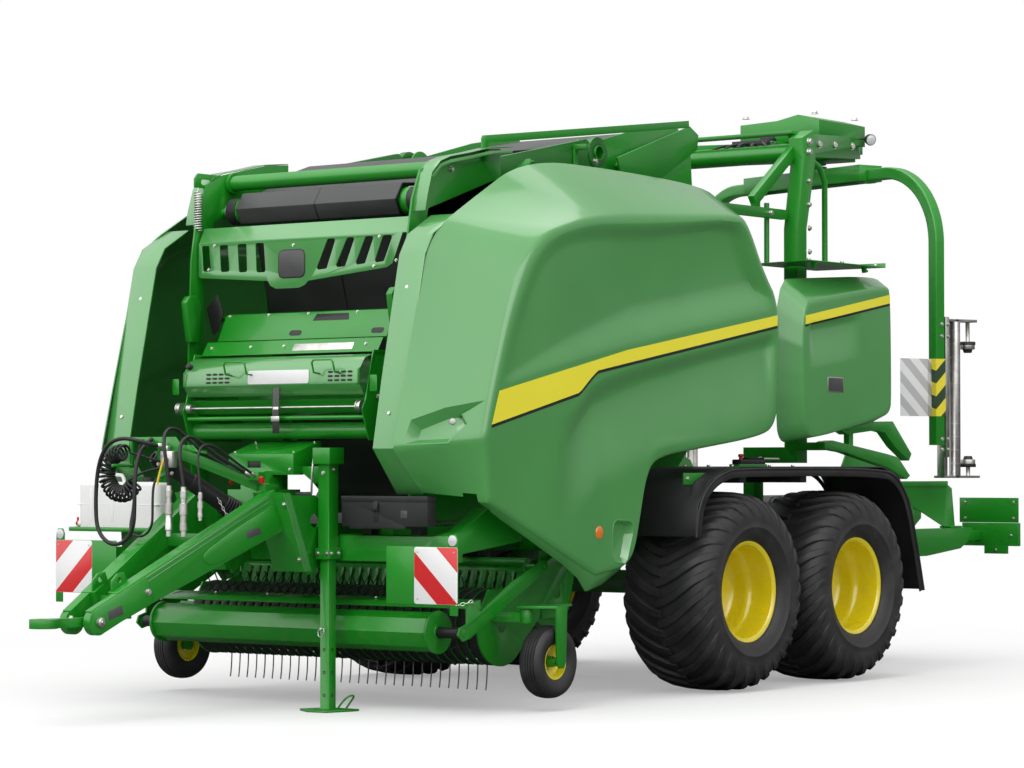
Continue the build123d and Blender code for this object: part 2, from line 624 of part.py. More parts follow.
def upright_face(points, y):
    """A face on the plane at y, from an outline as (x, z)."""
    with BuildSketch(Plane.XZ.offset(-y)) as sketch:
        with BuildLine():
            Polyline(*points, close=True)
        make_face()
    return sketch.sketch


SHIELD_SIDE = [(row[0], row[1]) for row in SHIELD_OUTLINE]
SHIELD_EDGE = [(row[2], row[3]) for row in SHIELD_OUTLINE]
MIDDLE = (700, 1900)


def toward(points, centre, amount):
    """Each point of an outline moved an amount toward a centre."""
    moved = []
    for x, z in points:
        dx, dz = centre[0] - x, centre[1] - z
        size = math.hypot(dx, dz)
        moved.append((x + dx / size * amount, z + dz / size * amount))
    return moved


with BuildPart() as side_shield_left:
    loft([upright_face(SHIELD_EDGE, SHIELD_EDGE_Y), upright_face(SHIELD_SIDE, SHIELD_SIDE_Y)], ruled=True)
    loft(
        [
            upright_face(toward(SHIELD_EDGE, MIDDLE, 14), SHIELD_EDGE_Y - 4),
            upright_face(toward(SHIELD_SIDE, MIDDLE, 14), SHIELD_SIDE_Y - SHIELD_WALL),
        ],
        ruled=True,
        mode=Mode.SUBTRACT,
    )
    # the underside is open inboard of the side face
    side_plate(
        [(2340, 1215), (2110, 1200), (2060, 1130), (1500, 1180), (620, 1440), (-600, 1540), (-600, 500), (2330, 500)],
        SHIELD_EDGE_Y - 5, SHIELD_SIDE_Y - 60, mode=Mode.SUBTRACT,
    )
    # front strip inboard of the front edge
    side_plate(
        strip([(2290, 1190), (2492, 1432), (2420, 1800), (2270, 2480), (2200, 2595), (2000, 2710)], 10),
        905, SHIELD_EDGE_Y + 4,
    )
    for x in SHIELD_HINGE_X:
        block((x - 30, x - 4), (SHIELD_HINGE_Y + 8, SHIELD_EDGE_Y + 4), (3043, 3058))
        rod_x(SHIELD_HINGE_Y, SHIELD_HINGE_Z, x - 30, x - 4, 15)
        rod_x(SHIELD_HINGE_Y, SHIELD_HINGE_Z, x - 31, x - 3, 9.1, mode=Mode.SUBTRACT)
save(side_shield_left, "side_shield_left")

with BuildPart() as side_shield_right:
    mirror(side_shield_left.part, about=Plane.XZ)
save(side_shield_right, "side_shield_right")

# columns: side face x, z, edge x, z
PANEL_OUTLINE = [
    (-990, 2330, -900, 2480), (-2040, 2490, -2120, 2560), (-2060, 1720, -2150, 1700),
    (-1990, 1670, -2060, 1620), (-1110, 1500, -950, 1480),
]
PANEL_SIDE = [(row[0], row[1]) for row in PANEL_OUTLINE]
PANEL_EDGE = [(row[2], row[3]) for row in PANEL_OUTLINE]
PANEL_MIDDLE = (-1550, 2050)
with BuildPart() as rear_panel_left:
    loft([upright_face(PANEL_EDGE, 1270), upright_face(PANEL_SIDE, 1405)], ruled=True)
    loft(
        [
            upright_face(toward(PANEL_EDGE, PANEL_MIDDLE, 16), 1266),
            upright_face(toward(PANEL_SIDE, PANEL_MIDDLE, 16), 1397),
        ],
        ruled=True,
        mode=Mode.SUBTRACT,
    )
    for x in PANEL_HINGE_X:
        block((x - 30, x - 4), (PANEL_HINGE_Y - 6, PANEL_HINGE_Y + 6), (2436, 2566))
        rod_x(PANEL_HINGE_Y, PANEL_HINGE_Z, x - 30, x - 4, 14)
        rod_x(PANEL_HINGE_Y, PANEL_HINGE_Z, x - 31, x - 3, 8.1, mode=Mode.SUBTRACT)
save(rear_panel_left, "rear_panel_left")

with BuildPart() as rear_panel_right:
    mirror(rear_panel_left.part, about=Plane.XZ)
save(rear_panel_right, "rear_panel_right")

with BuildPart() as trays:
    floor_plate([(-1050, 1420), (-1180, 900), (-1960, 900), (-1960, 1420)], 2600, 2606)
    block((-1960, -1954), (900, 1420), (2606, 2630))
    block((-1630, -1480), (930, 1070), (2590, 2640), mode=Mode.SUBTRACT)
    for x in PANEL_HINGE_X:
        front_plate([(1340, 2601), (1380, 2601), (1374, 2562), (1346, 2562)], x, x + 8)
        rod_x(PANEL_HINGE_Y, PANEL_HINGE_Z, x - 34, x, 8)
    both_sides()
save(trays, "trays")

FENDER_PATH = [
    (266, 930), (240, 1110), (130, 1240), (-40, 1310), (-210, 1328), (-1820, 1328), (-2010, 1270),
    (-2150, 1120), (-2245, 830), (-2325, 550),
]
with BuildPart() as fenders:
    side_plate(strip(FENDER_PATH, 10)[::-1], 900, 1478)
    for x in (-1000, -330):
        block((x, x + 70), (RAIL_IN, 1430), (1240, 1316))
        block((x, x + 70), (RAIL_IN, RAIL_OUT), (RAIL_TOP, 1240))
    both_sides()
save(fenders, "fenders")

# ---------------------------------------------------------------- pickup and feeder

with BuildPart() as feeder_frame:
    side_plate([(880, 860), (1180, 860), (1180, 760), (1100, 500), (930, 480), (860, 700)], 1022, 1036)
    block((880, 960), (RAIL_OUT, 1036), (RAIL_LOW, 930))
    rod_y(PICKUP_PIVOT[0], PICKUP_PIVOT[1], 1022, 1090, 24)
    rod_y(FEED_X, FEED_Z, 1010, 1040, 31.1, mode=Mode.SUBTRACT)
    both_sides()
save(feeder_frame, "feeder_frame")

with BuildPart() as feed_rotor:
    rod_y(FEED_X, FEED_Z, -1034, 1034, 31)
    rod_y(FEED_X, FEED_Z, -1010, 1010, 90)
    # flights of the side augers and tine discs of the middle
    for y in [s * v for s in (-1, 1) for v in (975, 900, 825, 750, 675)]:
        rod_y(FEED_X, FEED_Z, y - 4, y + 4, 195)
    for y in [-560 + 112 * i for i in range(11)]:
        rod_y(FEED_X, FEED_Z, y - 5, y + 5, 180)
save(feed_rotor, "feed_rotor")

TINE_PITCH = 66
TINE_COLUMNS = 31
BAND_OUTER, BAND_INNER = 214, 206
PICKUP_PLATE = [(950, 850), (1050, 850), (1480, 660), (1700, 660), (1790, 500), (1700, 290), (1480, 270), (960, 740)]
with BuildPart() as pickup_frame:
    side_plate(PICKUP_PLATE, PICKUP_PLATE_IN, PICKUP_PLATE_OUT)
    rod_y(REEL_X, REEL_Z, PICKUP_PLATE_IN, PICKUP_PLATE_OUT, 216)
    rod_y(REEL_X, REEL_Z, PICKUP_PLATE_IN - 2, PICKUP_PLATE_OUT + 2, 31.1, mode=Mode.SUBTRACT)
    rod_y(PICKUP_PIVOT[0], PICKUP_PIVOT[1], PICKUP_PLATE_IN - 2, PICKUP_PLATE_OUT + 2, 24.1, mode=Mode.SUBTRACT)
    # pin of the crop press, and the beam and sleeve of the gauge wheel
    rod_y(GUARD_PIVOT[0], GUARD_PIVOT[1], PICKUP_PLATE_OUT, 1206, 15)
    side_plate([(1330, 700), (1370, 700), (1370, 800), (1330, 800)], PICKUP_PLATE_IN, PICKUP_PLATE_OUT)
    block((1605, 1675), (PICKUP_PLATE_OUT, GAUGE_PIVOT_Y - 20), (486, 540))
    rod_z(GAUGE_PIVOT_X, GAUGE_PIVOT_Y, 482, 556, 36)
    rod_z(GAUGE_PIVOT_X, GAUGE_PIVOT_Y, 470, 570, 20.1, mode=Mode.SUBTRACT)
    both_sides()
    rod_y(1330, 800, -PICKUP_PLATE_IN, PICKUP_PLATE_IN, 26)
    # stripper sheets over the reel, slotted where the tines pass
    with BuildSketch(Plane.XZ.offset(-PICKUP_PLATE_IN)) as bands:
        with Locations((REEL_X, REEL_Z)):
            Circle(BAND_OUTER)
            Circle(BAND_INNER, mode=Mode.SUBTRACT)
        with BuildLine():
            Polyline((REEL_X, REEL_Z), (REEL_X - 700, REEL_Z + 130), (REEL_X - 700, REEL_Z - 400),
                     (REEL_X + 90, REEL_Z - 400), close=True)
        make_face(mode=Mode.SUBTRACT)
        with BuildLine():
            Polyline((REEL_X - 180, REEL_Z + 100), (REEL_X - 250, REEL_Z + 322), (REEL_X - 242, REEL_Z + 325),
                     (REEL_X - 172, REEL_Z + 104), close=True)
        make_face()
    extrude(bands.sketch, amount=2 * PICKUP_PLATE_IN)
    for i in range(TINE_COLUMNS):
        y = (i - (TINE_COLUMNS - 1) / 2) * TINE_PITCH
        block((REEL_X - 240, REEL_X + 240), (y - 9, y + 9), (REEL_Z - 240, REEL_Z + 300), mode=Mode.SUBTRACT)
save(pickup_frame, "pickup_frame")

with BuildPart() as pickup_reel:
    rod_y(REEL_X, REEL_Z, -PICKUP_PLATE_OUT, PICKUP_PLATE_OUT, 31)
    rod_y(REEL_X, REEL_Z, -1040, 1040, 60)
    for y in (-1030, -345, 345, 1030):
        rod_y(REEL_X, REEL_Z, y - 5, y + 5, 182)
    for i in range(5):
        angle = math.radians(72 * i + 54)
        rod_y(REEL_X + 160 * math.cos(angle), REEL_Z + 160 * math.sin(angle), -1030, 1030, 18)
save(pickup_reel, "pickup_reel")

GUARD_ARM = [
    (1320, 750), (1320, 812), (1375, 815), (1660, 700), (2040, 490), (2110, 470), (2125, 430),
    (2080, 395), (2020, 410), (1640, 606), (1380, 740),
]
with BuildPart() as crop_press:
    side_plate(GUARD_ARM, 1186, 1198)
    rod_y(GUARD_PIVOT[0], GUARD_PIVOT[1], 1180, 1204, 15.1, mode=Mode.SUBTRACT)
    rod_y(CROP_ROLLER_X, CROP_ROLLER_Z, 1180, 1204, 25.1, mode=Mode.SUBTRACT)
    # sheet that ties the arms together over the roller
    side_plate(strip([(1930, 616), (2022, 600), (2046, 572)], 6), 0, 1190)
    side_plate([(1930, 500), (2046, 460), (2046, 572), (2022, 600), (1930, 616)], 1186, 1198)
    both_sides()
save(crop_press, "crop_press")

with BuildPart() as crop_roller:
    with BuildSketch(Plane.XZ.offset(-1010)) as drum:
        with Locations((CROP_ROLLER_X, CROP_ROLLER_Z)):
            RegularPolygon(108, 8)
    extrude(drum.sketch, amount=2020)
    for y in (-1018, 1018):
        rod_y(CROP_ROLLER_X, CROP_ROLLER_Z, y - 7, y + 7, 117)
    rod_y(CROP_ROLLER_X, CROP_ROLLER_Z, -1200, 1200, 25)
save(crop_roller, "crop_roller")

with BuildPart() as gauge_fork_left:
    rod_z(GAUGE_PIVOT_X, GAUGE_PIVOT_Y, 478, 566, 20)
    floor_plate(
        [(1690, 1255), (1690, 1325), (1600, 1464), (1500, 1464), (1520, 1325), (1270, 1325), (1270, 1255)],
        562, 576,
    )
    block((1270, 1470), (1255, 1267), (500, 562))
    side_plate([(1600, 576), (1500, 576), (1512, 270), (1530, 236), (1568, 236), (1590, 270)], 1452, 1464)
    rod_y(GAUGE_X, GAUGE_Z, 1300, 1452, 12)
save(gauge_fork_left, "gauge_fork_left")

with BuildPart() as gauge_fork_right:
    mirror(gauge_fork_left.part, about=Plane.XZ)
save(gauge_fork_right, "gauge_fork_right")

for side, gauge_y in (("left", GAUGE_Y), ("right", -GAUGE_Y)):
    with BuildPart() as gauge_wheel:
        with BuildSketch(axial_plane(GAUGE_X, gauge_y, GAUGE_Z)):
            with BuildLine():
                # hub, dished rim, tyre
                Polyline((-66, 12.1), (-66, 30), (-20, 34), (-20, 88), (-46, 92), (-62, 112))
                ThreePointArc((-62, 112), (-72, 158), (-48, 192))
                ThreePointArc((-48, 192), (0, GAUGE_RADIUS), (48, 192))
                ThreePointArc((48, 192), (72, 158), (62, 112))
                Polyline((62, 112), (46, 92), (-8, 88), (-8, 34), (66, 30), (66, 12.1), (-66, 12.1))
            make_face()
        revolve(axis=Axis((GAUGE_X, gauge_y, GAUGE_Z), (0, 1, 0)))
    save(gauge_wheel, f"gauge_wheel_{side}")

# ---------------------------------------------------------------- mast and boom of the wrapper

MAST_Y = (950, 1050)
with BuildPart() as mast:
    side_plate(
        [(-1500, 1360), (-1500, 2840), (-1585, 3290), (-1560, 3420), (-1700, 3480), (-1720, 3300),
         (-1610, 2840), (-1610, 1360)],
        *MAST_Y,
    )
    block((-1610, -1500), (RAIL_IN, 950), (1360, 1460))
    block((-1610, -1500), (RAIL_IN, RAIL_OUT), (RAIL_TOP, 1360))
    # brace that runs forward and down to the side rail
    beam((-1590, 955, 3340), (-1130, 955, 2995), 46, 70)
    block((-1190, -1140), (935, 975), (2961, 3000))
    both_sides()
    rod_y(-1640, 3335, -950, 950, 58)
    block((-1690, -1590), (-950, 950), (3455, 3475))
save(mast, "mast")

HOOD = [(-300, 3560), (-300, 3700), (0, 3712), (170, 3745), (340, 3700), (340, 3560)]
with BuildPart() as boom:
    beam((-1760, 890, 3400), (-3560, 250, 3560), 26, 150)
    beam((-1722, 905, 3400), (-1790, 885, 3405), 110, 150)
    both_sides()
    block((-3520, -3180), (-250, 250), (3460, 3600))
    front_plate(HOOD, -3500, -2900)
    block((-3700, -3540), (-200, 200), (3530, 3600))
    rod_z(ROTOR_X, 0, 3440, 3560, 105)
    rod_z(ROTOR_X, 0, 3430, 3530, 50.1, mode=Mode.SUBTRACT)
save(boom, "boom")

# ---------------------------------------------------------------- wrap arms
# Built with the arms along Y, then turned to their parked place.

PARK = Location((ROTOR_X, 0, 0), (0, 0, ROTOR_REST_TURN))
ARM_Z, BEND, ARM_FOOT_Z = 3320, 500, 1480
with BuildPart() as arm_pair:
    with BuildLine(Plane.YZ) as arm_line:
        Line((560, ARM_Z), (ARM_RADIUS - BEND, ARM_Z))
        RadiusArc((ARM_RADIUS - BEND, ARM_Z), (ARM_RADIUS, ARM_Z - BEND), BEND)
        Line((ARM_RADIUS, ARM_Z - BEND), (ARM_RADIUS, ARM_FOOT_Z))
    with BuildSketch(Plane(origin=(0, 560, ARM_Z), x_dir=(1, 0, 0), z_dir=(0, 1, 0))):
        RectangleRounded(80, 80, 12)
    sweep()
    mirror(about=Plane.XZ)
    block((-100, 100), (-640, 640), (3280, 3390))
    block((-90, 90), (-630, 630), (3270, 3380), mode=Mode.SUBTRACT)
    for y in (-600, 600):
        block((-50, 50), (y - 40, y + 40), (3270, 3390))
    rod_z(0, 0, 3300, 3425, 110)
    rod_z(0, 0, 3400, 3520, 50)
with BuildPart() as wrap_arms:
    add(arm_pair.part.moved(PARK))
save(wrap_arms, "wrap_arms")

with BuildPart() as dispenser_pair:
    # carrier plate beside the arm tube, foot, head, aluminium roller and core cones
    block((-75, -43), (1262, 1350), (1400, 2330))
    block((-360, -43), (1230, 1330), (1262, 1278))
    block((-75, -43), (1262, 1330), (1278, 1400))
    block((-340, -75), (1250, 1330), (2300, 2318))
    rod_z(-165, 1300, 1278, 2300, 38)
    rod_z(-290, 1290, 1278, 1340, 14)
    rod_z(-290, 1290, 1335, 1385, 48)
    rod_z(-290, 1290, 2150, 2300, 14)
    rod_z(-290, 1290, 2120, 2170, 48)
    add(dispenser_pair.part.rotate(Axis.Z, 180))
with BuildPart() as film_dispensers:
    add(dispenser_pair.part.moved(PARK))
save(film_dispensers, "film_dispensers")

# ---------------------------------------------------------------- wrap table and rear end

with BuildPart() as transfer_deck:
    side_plate(strip([(-1120, 1060), (-1300, 1012), (-2500, 1012), (-2660, 1060)], 8)[::-1], -580, 580)
    for x in (-1300, -1900, -2450):
        block((x, x + 60), (-RAIL_IN, RAIL_IN), (RAIL_TOP - 19, 1004))
    side_plate([(-2840, 1140), (-2840, 1225), (-3480, 1225), (-3560, 1190), (-3600, 930), (-3450, 930)], 975, 985)
    block((-3480, -2840), (960, 1000), (1205, 1240))
    block((-3600, -3450), (950, 1040), (921, 935))
    # plates that catch the bale on its way to the table
    side_plate([(-2420, 861), (-2440, 1300), (-2550, 1464), (-2800, 1443), (-2970, 1388), (-3080, 1250), (-2700, 861)], 770, 782)
    block((-2500, -2440), (721, 770), (870, 990))
    both_sides()
save(transfer_deck, "transfer_deck")

TABLE_X = (-3850, -2830)
with BuildPart() as wrap_table:
    side_plate([(-3850, 980), (-3850, 1130), (-2830, 1130), (-2830, 980), (-3400, 900), (-3640, 850)], 560, 575)
    rod_y(*TABLE_PIVOT, 550, 582, 20.1, mode=Mode.SUBTRACT)
    both_sides()
    for x in TABLE_X:
        rod_y(x + math.copysign(70, TABLE_PIVOT[0] - x), 1055, -560, 560, 20)
    block((-3400, -3340), (-560, 560), (930, 980))
save(wrap_table, "wrap_table")

with BuildPart() as table_rollers:
    for x in TABLE_X:
        middle = x + (70 if x < -3300 else -70)
        rod_y(middle, 1055, -540, 540, 75)
        rod_y(middle, 1055, -541, 541, 21, mode=Mode.SUBTRACT)
save(table_rollers, "table_rollers")

with BuildPart() as rear_frame:
    side_plate([(-2380, 780), (-2380, 920), (-3724, 920), (-3736, 859), (-3562, 781), (-3108, 739), (-2900, 739)], 950, 1050)
    block((-2400, -2330), (RAIL_OUT, 950), (RAIL_LOW, 920))
    block((-3480, -3400), (0, 950), (775, 830))
    side_plate([(-3600, 925), (-3520, 925), (-3400, 830), (-3400, 776), (-3480, 776), (-3600, 840)], 585, 600)
    rod_y(*TABLE_PIVOT, 552, 600, 20)
    # arm to the light board
    block((-4068, -3720), (880, 930), (830, 890))
    both_sides()
save(rear_frame, "rear_frame")

UPPER_ARM = [
    (-1650, 1574), (-1800, 1620), (-2310, 1630), (-2546, 1420), (-2514, 1376), (-2334, 1467),
    (-2209, 1558), (-2106, 1571), (-1750, 1540),
]
LOWER_ARM = [
    (-1480, 1450), (-1480, 1492), (-1571, 1502), (-2229, 1420), (-2377, 1398), (-2527, 1278),
    (-2484, 1256), (-2250, 1333), (-1712, 1429),
]
with BuildPart() as film_cutters:
    side_plate(UPPER_ARM, 1200, 1262)
    side_plate(LOWER_ARM, 1200, 1262)
    block((-1840, -1790), (1210, 1250), (1410, 1600))
    block((-1600, -1510), (1050, 1200), (1440, 1490))
    both_sides()
save(film_cutters, "film_cutters")

with BuildPart() as warning_boards:
    # front pair: board with a hanging tab
    block((2484, 2490), (1000, 1484), (612, 915))
    block((2484, 2490), (1430, 1484), (556, 612))
    # rear pair: upper plate, lamp carrier and number plate tab
    block((-4076, -4068), (756, 1217), (950, 1122))
    block((REAR_END_X, -4068), (776, 1217), (788, 948))
    block((-4090, -4068), (950, 1128), (734, 789))
    both_sides()
save(warning_boards, "warning_boards")
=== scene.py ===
"""Looks of a round baler with a tandem axle and a bale wrapper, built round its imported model.

Metres. X points forward to the hitch, Y to the machine's left and Z up, with the floor at z = 0.
Each sub-assembly is a class that models its pieces and dresses them in their finishes.
"""

import json
import logging
import math
from contextlib import contextmanager
from dataclasses import dataclass
from enum import Enum
from typing import Callable, Iterable, Iterator, Sequence

import bmesh
import bpy
from mathutils import Matrix, Vector


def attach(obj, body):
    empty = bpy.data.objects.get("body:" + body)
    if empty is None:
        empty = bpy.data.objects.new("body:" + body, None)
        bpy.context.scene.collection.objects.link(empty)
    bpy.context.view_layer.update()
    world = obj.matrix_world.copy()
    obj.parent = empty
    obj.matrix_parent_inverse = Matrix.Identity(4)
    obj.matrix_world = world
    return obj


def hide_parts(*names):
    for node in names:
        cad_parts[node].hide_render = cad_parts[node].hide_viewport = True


LOG = logging.getLogger("baler")
AHEAD, LEFT, UP = (1, 0, 0), (0, 1, 0), (0, 0, 1)
Point2 = tuple[float, float]
Point3 = tuple[float, float, float]
Colour = tuple[float, float, float]
Spot = tuple[Point3, Point3]
Piece = bpy.types.Object

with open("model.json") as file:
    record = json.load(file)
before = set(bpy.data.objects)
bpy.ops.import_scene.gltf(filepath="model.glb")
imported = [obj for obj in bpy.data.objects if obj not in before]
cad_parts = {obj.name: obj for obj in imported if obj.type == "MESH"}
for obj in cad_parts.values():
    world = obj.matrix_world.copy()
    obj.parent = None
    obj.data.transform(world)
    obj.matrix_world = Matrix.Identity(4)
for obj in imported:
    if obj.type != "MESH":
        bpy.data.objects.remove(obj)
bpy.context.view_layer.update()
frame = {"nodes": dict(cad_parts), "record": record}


# ---------------------------------------------------------------- shader wiring


class Wire:
    """A shader socket that takes part in sums, so that patterns are written as expressions."""

    def __init__(self, shop: "Shop", socket: bpy.types.NodeSocket) -> None:
        """Keeps the socket and the material that it belongs to."""
        self.shop = shop
        self.socket = socket

    def _maths(self, operation: str, *values: "Wire | float", clamp: bool = False) -> "Wire":
        """Adds one Math node on these values."""
        inputs = dict(enumerate(values))
        return self.shop.node("ShaderNodeMath", {"operation": operation, "use_clamp": clamp}, inputs)

    def __add__(self, other: "Wire | float") -> "Wire":
        """Sum."""
        return self._maths("ADD", self, other)

    def __rsub__(self, other: float) -> "Wire":
        """Difference from a number."""
        return self._maths("SUBTRACT", other, self)

    def __mul__(self, other: "Wire | float") -> "Wire":
        """Product."""
        return self._maths("MULTIPLY", self, other)

    def __gt__(self, other: "Wire | float") -> "Wire":
        """1 where this is the greater, else 0."""
        return self._maths("GREATER_THAN", self, other)

    __radd__ = __add__
    __rmul__ = __mul__

    def clamp(self) -> "Wire":
        """Held between 0 and 1."""
        return self._maths("ADD", self, 0.0, clamp=True)

    def ripple(self, pitch: float) -> "Wire":
        """Distance from the middle of each cell of this pitch, from 0 to half the pitch."""
        return self._maths("PINGPONG", self, pitch / 2)

    def ramp(self, low: float, high: float) -> "Wire":
        """Rises smoothly from 0 to 1 between two values."""
        settings = {"interpolation_type": "SMOOTHSTEP"}
        return self.shop.node(
            "ShaderNodeMapRange", settings, {"Value": self, "From Min": low, "From Max": high})


class Shop:
    """One material and the nodes that make it."""

    def __init__(self, name: str, **constants: object) -> None:
        """Starts a material.

        Args:
            name: the material's name.
            constants: values of the shader's own sockets, with _ for a space.
        """
        self.material = bpy.data.materials.new(name)
        self.material.use_nodes = True
        self.tree = self.material.node_tree
        self.shader = self.tree.nodes["Principled BSDF"]
        for key, value in constants.items():
            self.shader.inputs[key.replace("_", " ")].default_value = value

    def node(self, kind: str, settings: dict, inputs: dict, output: int | str = 0) -> Wire:
        """Adds a node.

        Args:
            kind: the node's type.
            settings: its own properties, set first.
            inputs: values or wires of its sockets, by name or number.
            output: which of its outputs is wanted.

        Returns:
            The wire of that output.
        """
        made = self.tree.nodes.new(kind)
        for key, value in settings.items():
            setattr(made, key, value)
        for key, value in inputs.items():
            if isinstance(value, Wire):
                self.tree.links.new(value.socket, made.inputs[key])
            else:
                made.inputs[key].default_value = value
        return Wire(self, made.outputs[output])

    def feed(self, name: str, wire: Wire) -> None:
        """Links a wire to one of the shader's sockets."""
        self.tree.links.new(wire.socket, self.shader.inputs[name])

    def place(self) -> Wire:
        """The point on the piece, in the machine's own frame."""
        return self.node("ShaderNodeTexCoord", {}, {}, "Object")

    def axis(self, name: str) -> Wire:
        """One coordinate of that point."""
        return self.node("ShaderNodeSeparateXYZ", {}, {0: self.place()}, name)

    def noise(self, scale: float, detail: float = 3.0, stretch: Point3 = (1, 1, 1)) -> Wire:
        """A cloudy pattern, from 0 to 1.

        Args:
            scale: how many clouds to a metre.
            detail: how many finer layers it has.
            stretch: the pattern's density along each axis.
        """
        spot = self.node("ShaderNodeMapping", {}, {"Vector": self.place(), "Scale": stretch})
        return self.node("ShaderNodeTexNoise", {}, {"Vector": spot, "Scale": scale, "Detail": detail})

    def blend(self, share: Wire, low: Colour | Wire, high: Colour | Wire) -> Wire:
        """Colour that goes from low to high as share goes from 0 to 1."""
        ends = [end if isinstance(end, Wire) else (*end, 1.0) for end in (low, high)]
        settings = {"data_type": "RGBA"}
        return self.node("ShaderNodeMix", settings, {0: share, 6: ends[0], 7: ends[1]}, 2)

    def emboss(self, height: Wire, depth: float) -> None:
        """Makes a height, from 0 to 1, stand out by a depth in metres."""
        bump = self.node("ShaderNodeBump", {}, {"Height": height, "Distance": depth, "Strength": 1.0})
        self.feed("Normal", bump)


class Sky(Shop):
    """The world's own nodes."""

    def __init__(self, world: bpy.types.World) -> None:
        """Starts from an empty tree."""
        self.tree = world.node_tree
        self.tree.nodes.clear()


class Finish:
    """Something a piece is dressed in; the material is made once."""

    made: dict[str, bpy.types.Material] = {}

    def build(self) -> Shop:
        """Makes the material."""
        raise NotImplementedError

    def material(self) -> bpy.types.Material:
        """The material, made on first use."""
        if self.name not in Finish.made:
            Finish.made[self.name] = self.build().material
        return Finish.made[self.name]


@dataclass(frozen=True)
class Paint(Finish):
    """Gloss paint on steel or on a moulded panel."""

    name: str
    colour: Colour
    shade: Colour
    roughness: float = 0.28
    coat: float = 0.6
    peel: float = 0.00012

    def build(self) -> Shop:
        """Mottled colour, a little orange peel and thin road dust near the floor."""
        shop = Shop(self.name, Coat_Weight=self.coat, Coat_Roughness=0.10, Coat_IOR=1.6, IOR=1.5)
        cloud = shop.noise(1.6, 2.0)
        grime = shop.noise(14.0, 5.0)
        low = 1 - shop.axis("Z").ramp(0.05, 1.1)
        dust = low * grime.ramp(0.42, 0.75) * 0.09
        body = shop.blend(cloud.ramp(0.35, 0.65), self.colour, self.shade)
        shop.feed("Base Color", shop.blend(dust, body, (0.23, 0.21, 0.16)))
        shop.feed("Roughness", self.roughness + grime * 0.08 + dust)
        shop.emboss(shop.noise(240.0, 2.0), self.peel)
        return shop


@dataclass(frozen=True)
class Moulded(Finish):
    """Plain plastic or powder coat with a fine grain."""

    name: str
    colour: Colour
    shade: Colour
    roughness: float = 0.5
    grain: float = 420.0
    depth: float = 0.0003
    sheen: float = 0.32

    def build(self) -> Shop:
        """Two close shades and a leather-like grain."""
        shop = Shop(self.name, Specular_IOR_Level=self.sheen)
        grain = shop.noise(self.grain, 2.0)
        cloud = shop.noise(4.0, 4.0)
        shop.feed("Base Color", shop.blend(cloud.ramp(0.3, 0.7), self.colour, self.shade))
        shop.feed("Roughness", self.roughness + cloud * 0.12)
        shop.emboss(grain, self.depth)
        return shop


@dataclass(frozen=True)
class Tread(Finish):
    """Tyre rubber: near black, dull, with fine mould lines and patches of dust."""

    name: str
    colour: Colour = (0.018, 0.018, 0.019)

    def build(self) -> Shop:
        """Black with a grey bloom that collects in patches."""
        shop = Shop(self.name, Specular_IOR_Level=0.42)
        bloom = shop.noise(7.0, 6.0).ramp(0.4, 0.8)
        shop.feed("Base Color", shop.blend(bloom * 0.5, self.colour, (0.05, 0.049, 0.047)))
        shop.feed("Roughness", 0.52 + bloom * 0.2)
        shop.emboss(shop.noise(320.0, 4.0), 0.0005)
        return shop


@dataclass(frozen=True)
class Metal(Finish):
    """Bare or plated metal with drawn scratches."""

    name: str
    colour: Colour
    roughness: float = 0.3
    stretch: Point3 = (1.0, 0.06, 1.0)

    def build(self) -> Shop:
        """Bright metal whose scratches run along one axis."""
        shop = Shop(self.name, Metallic=1.0)
        drawn = shop.noise(300.0, 3.0, self.stretch)
        cloud = shop.noise(12.0, 4.0)
        dull = tuple(0.72 * part for part in self.colour)
        shop.feed("Base Color", shop.blend(cloud.ramp(0.35, 0.75), self.colour, dull))
        shop.feed("Roughness", self.roughness + drawn * 0.15)
        shop.emboss(drawn, 0.00008)
        return shop


@dataclass(frozen=True)
class Belting(Finish):
    """Two wide endless rubber belts side by side, worn smooth."""

    name: str
    pitch: float = 0.6

    def build(self) -> Shop:
        """Dark bands with a joint between them, a woven grain and dry dust."""
        shop = Shop(self.name, Specular_IOR_Level=0.45)
        joint = shop.axis("Y").ripple(self.pitch).ramp(0.003, 0.007)
        dusty = shop.noise(5.0, 5.0, (1, 0.4, 1)).ramp(0.4, 0.8) * 0.6
        rubber = shop.blend(dusty, (0.030, 0.031, 0.032), (0.060, 0.061, 0.060))
        shop.feed("Base Color", shop.blend(joint, (0.004, 0.004, 0.004), rubber))
        shop.feed("Roughness", 0.42 + dusty * 0.35)
        shop.emboss(shop.noise(260.0, 2.0) * 0.12 + joint, 0.003)
        return shop


@dataclass(frozen=True)
class Slants(Finish):
    """Two colours in slanting bands, for a board or a marked post.

    The bands climb along Y or fall along it, as lean says, and repeat at a pitch.
    """

    name: str
    first: Colour
    second: Colour
    pitch: float
    lean: float
    shift: float = 0.0
    split: float = 0.5
    across: str = "Y"
    alpha: float = 1.0
    roughness: float = 0.3

    def build(self) -> Shop:
        """Slanting bands with a fine prismatic grain."""
        shop = Shop(self.name, Alpha=self.alpha, Coat_Weight=0.3)
        slope = shop.axis("Z") + shop.axis(self.across) * self.lean + self.shift
        band = slope.ripple(self.pitch) > self.pitch / 2 * self.split
        shop.feed("Base Color", shop.blend(band, self.first, self.second))
        prism = (shop.axis("Z").ripple(0.006) + shop.axis(self.across).ripple(0.006)) * 150.0
        shop.feed("Roughness", self.roughness + prism * 0.08)
        shop.emboss(prism, 0.0003)
        return shop


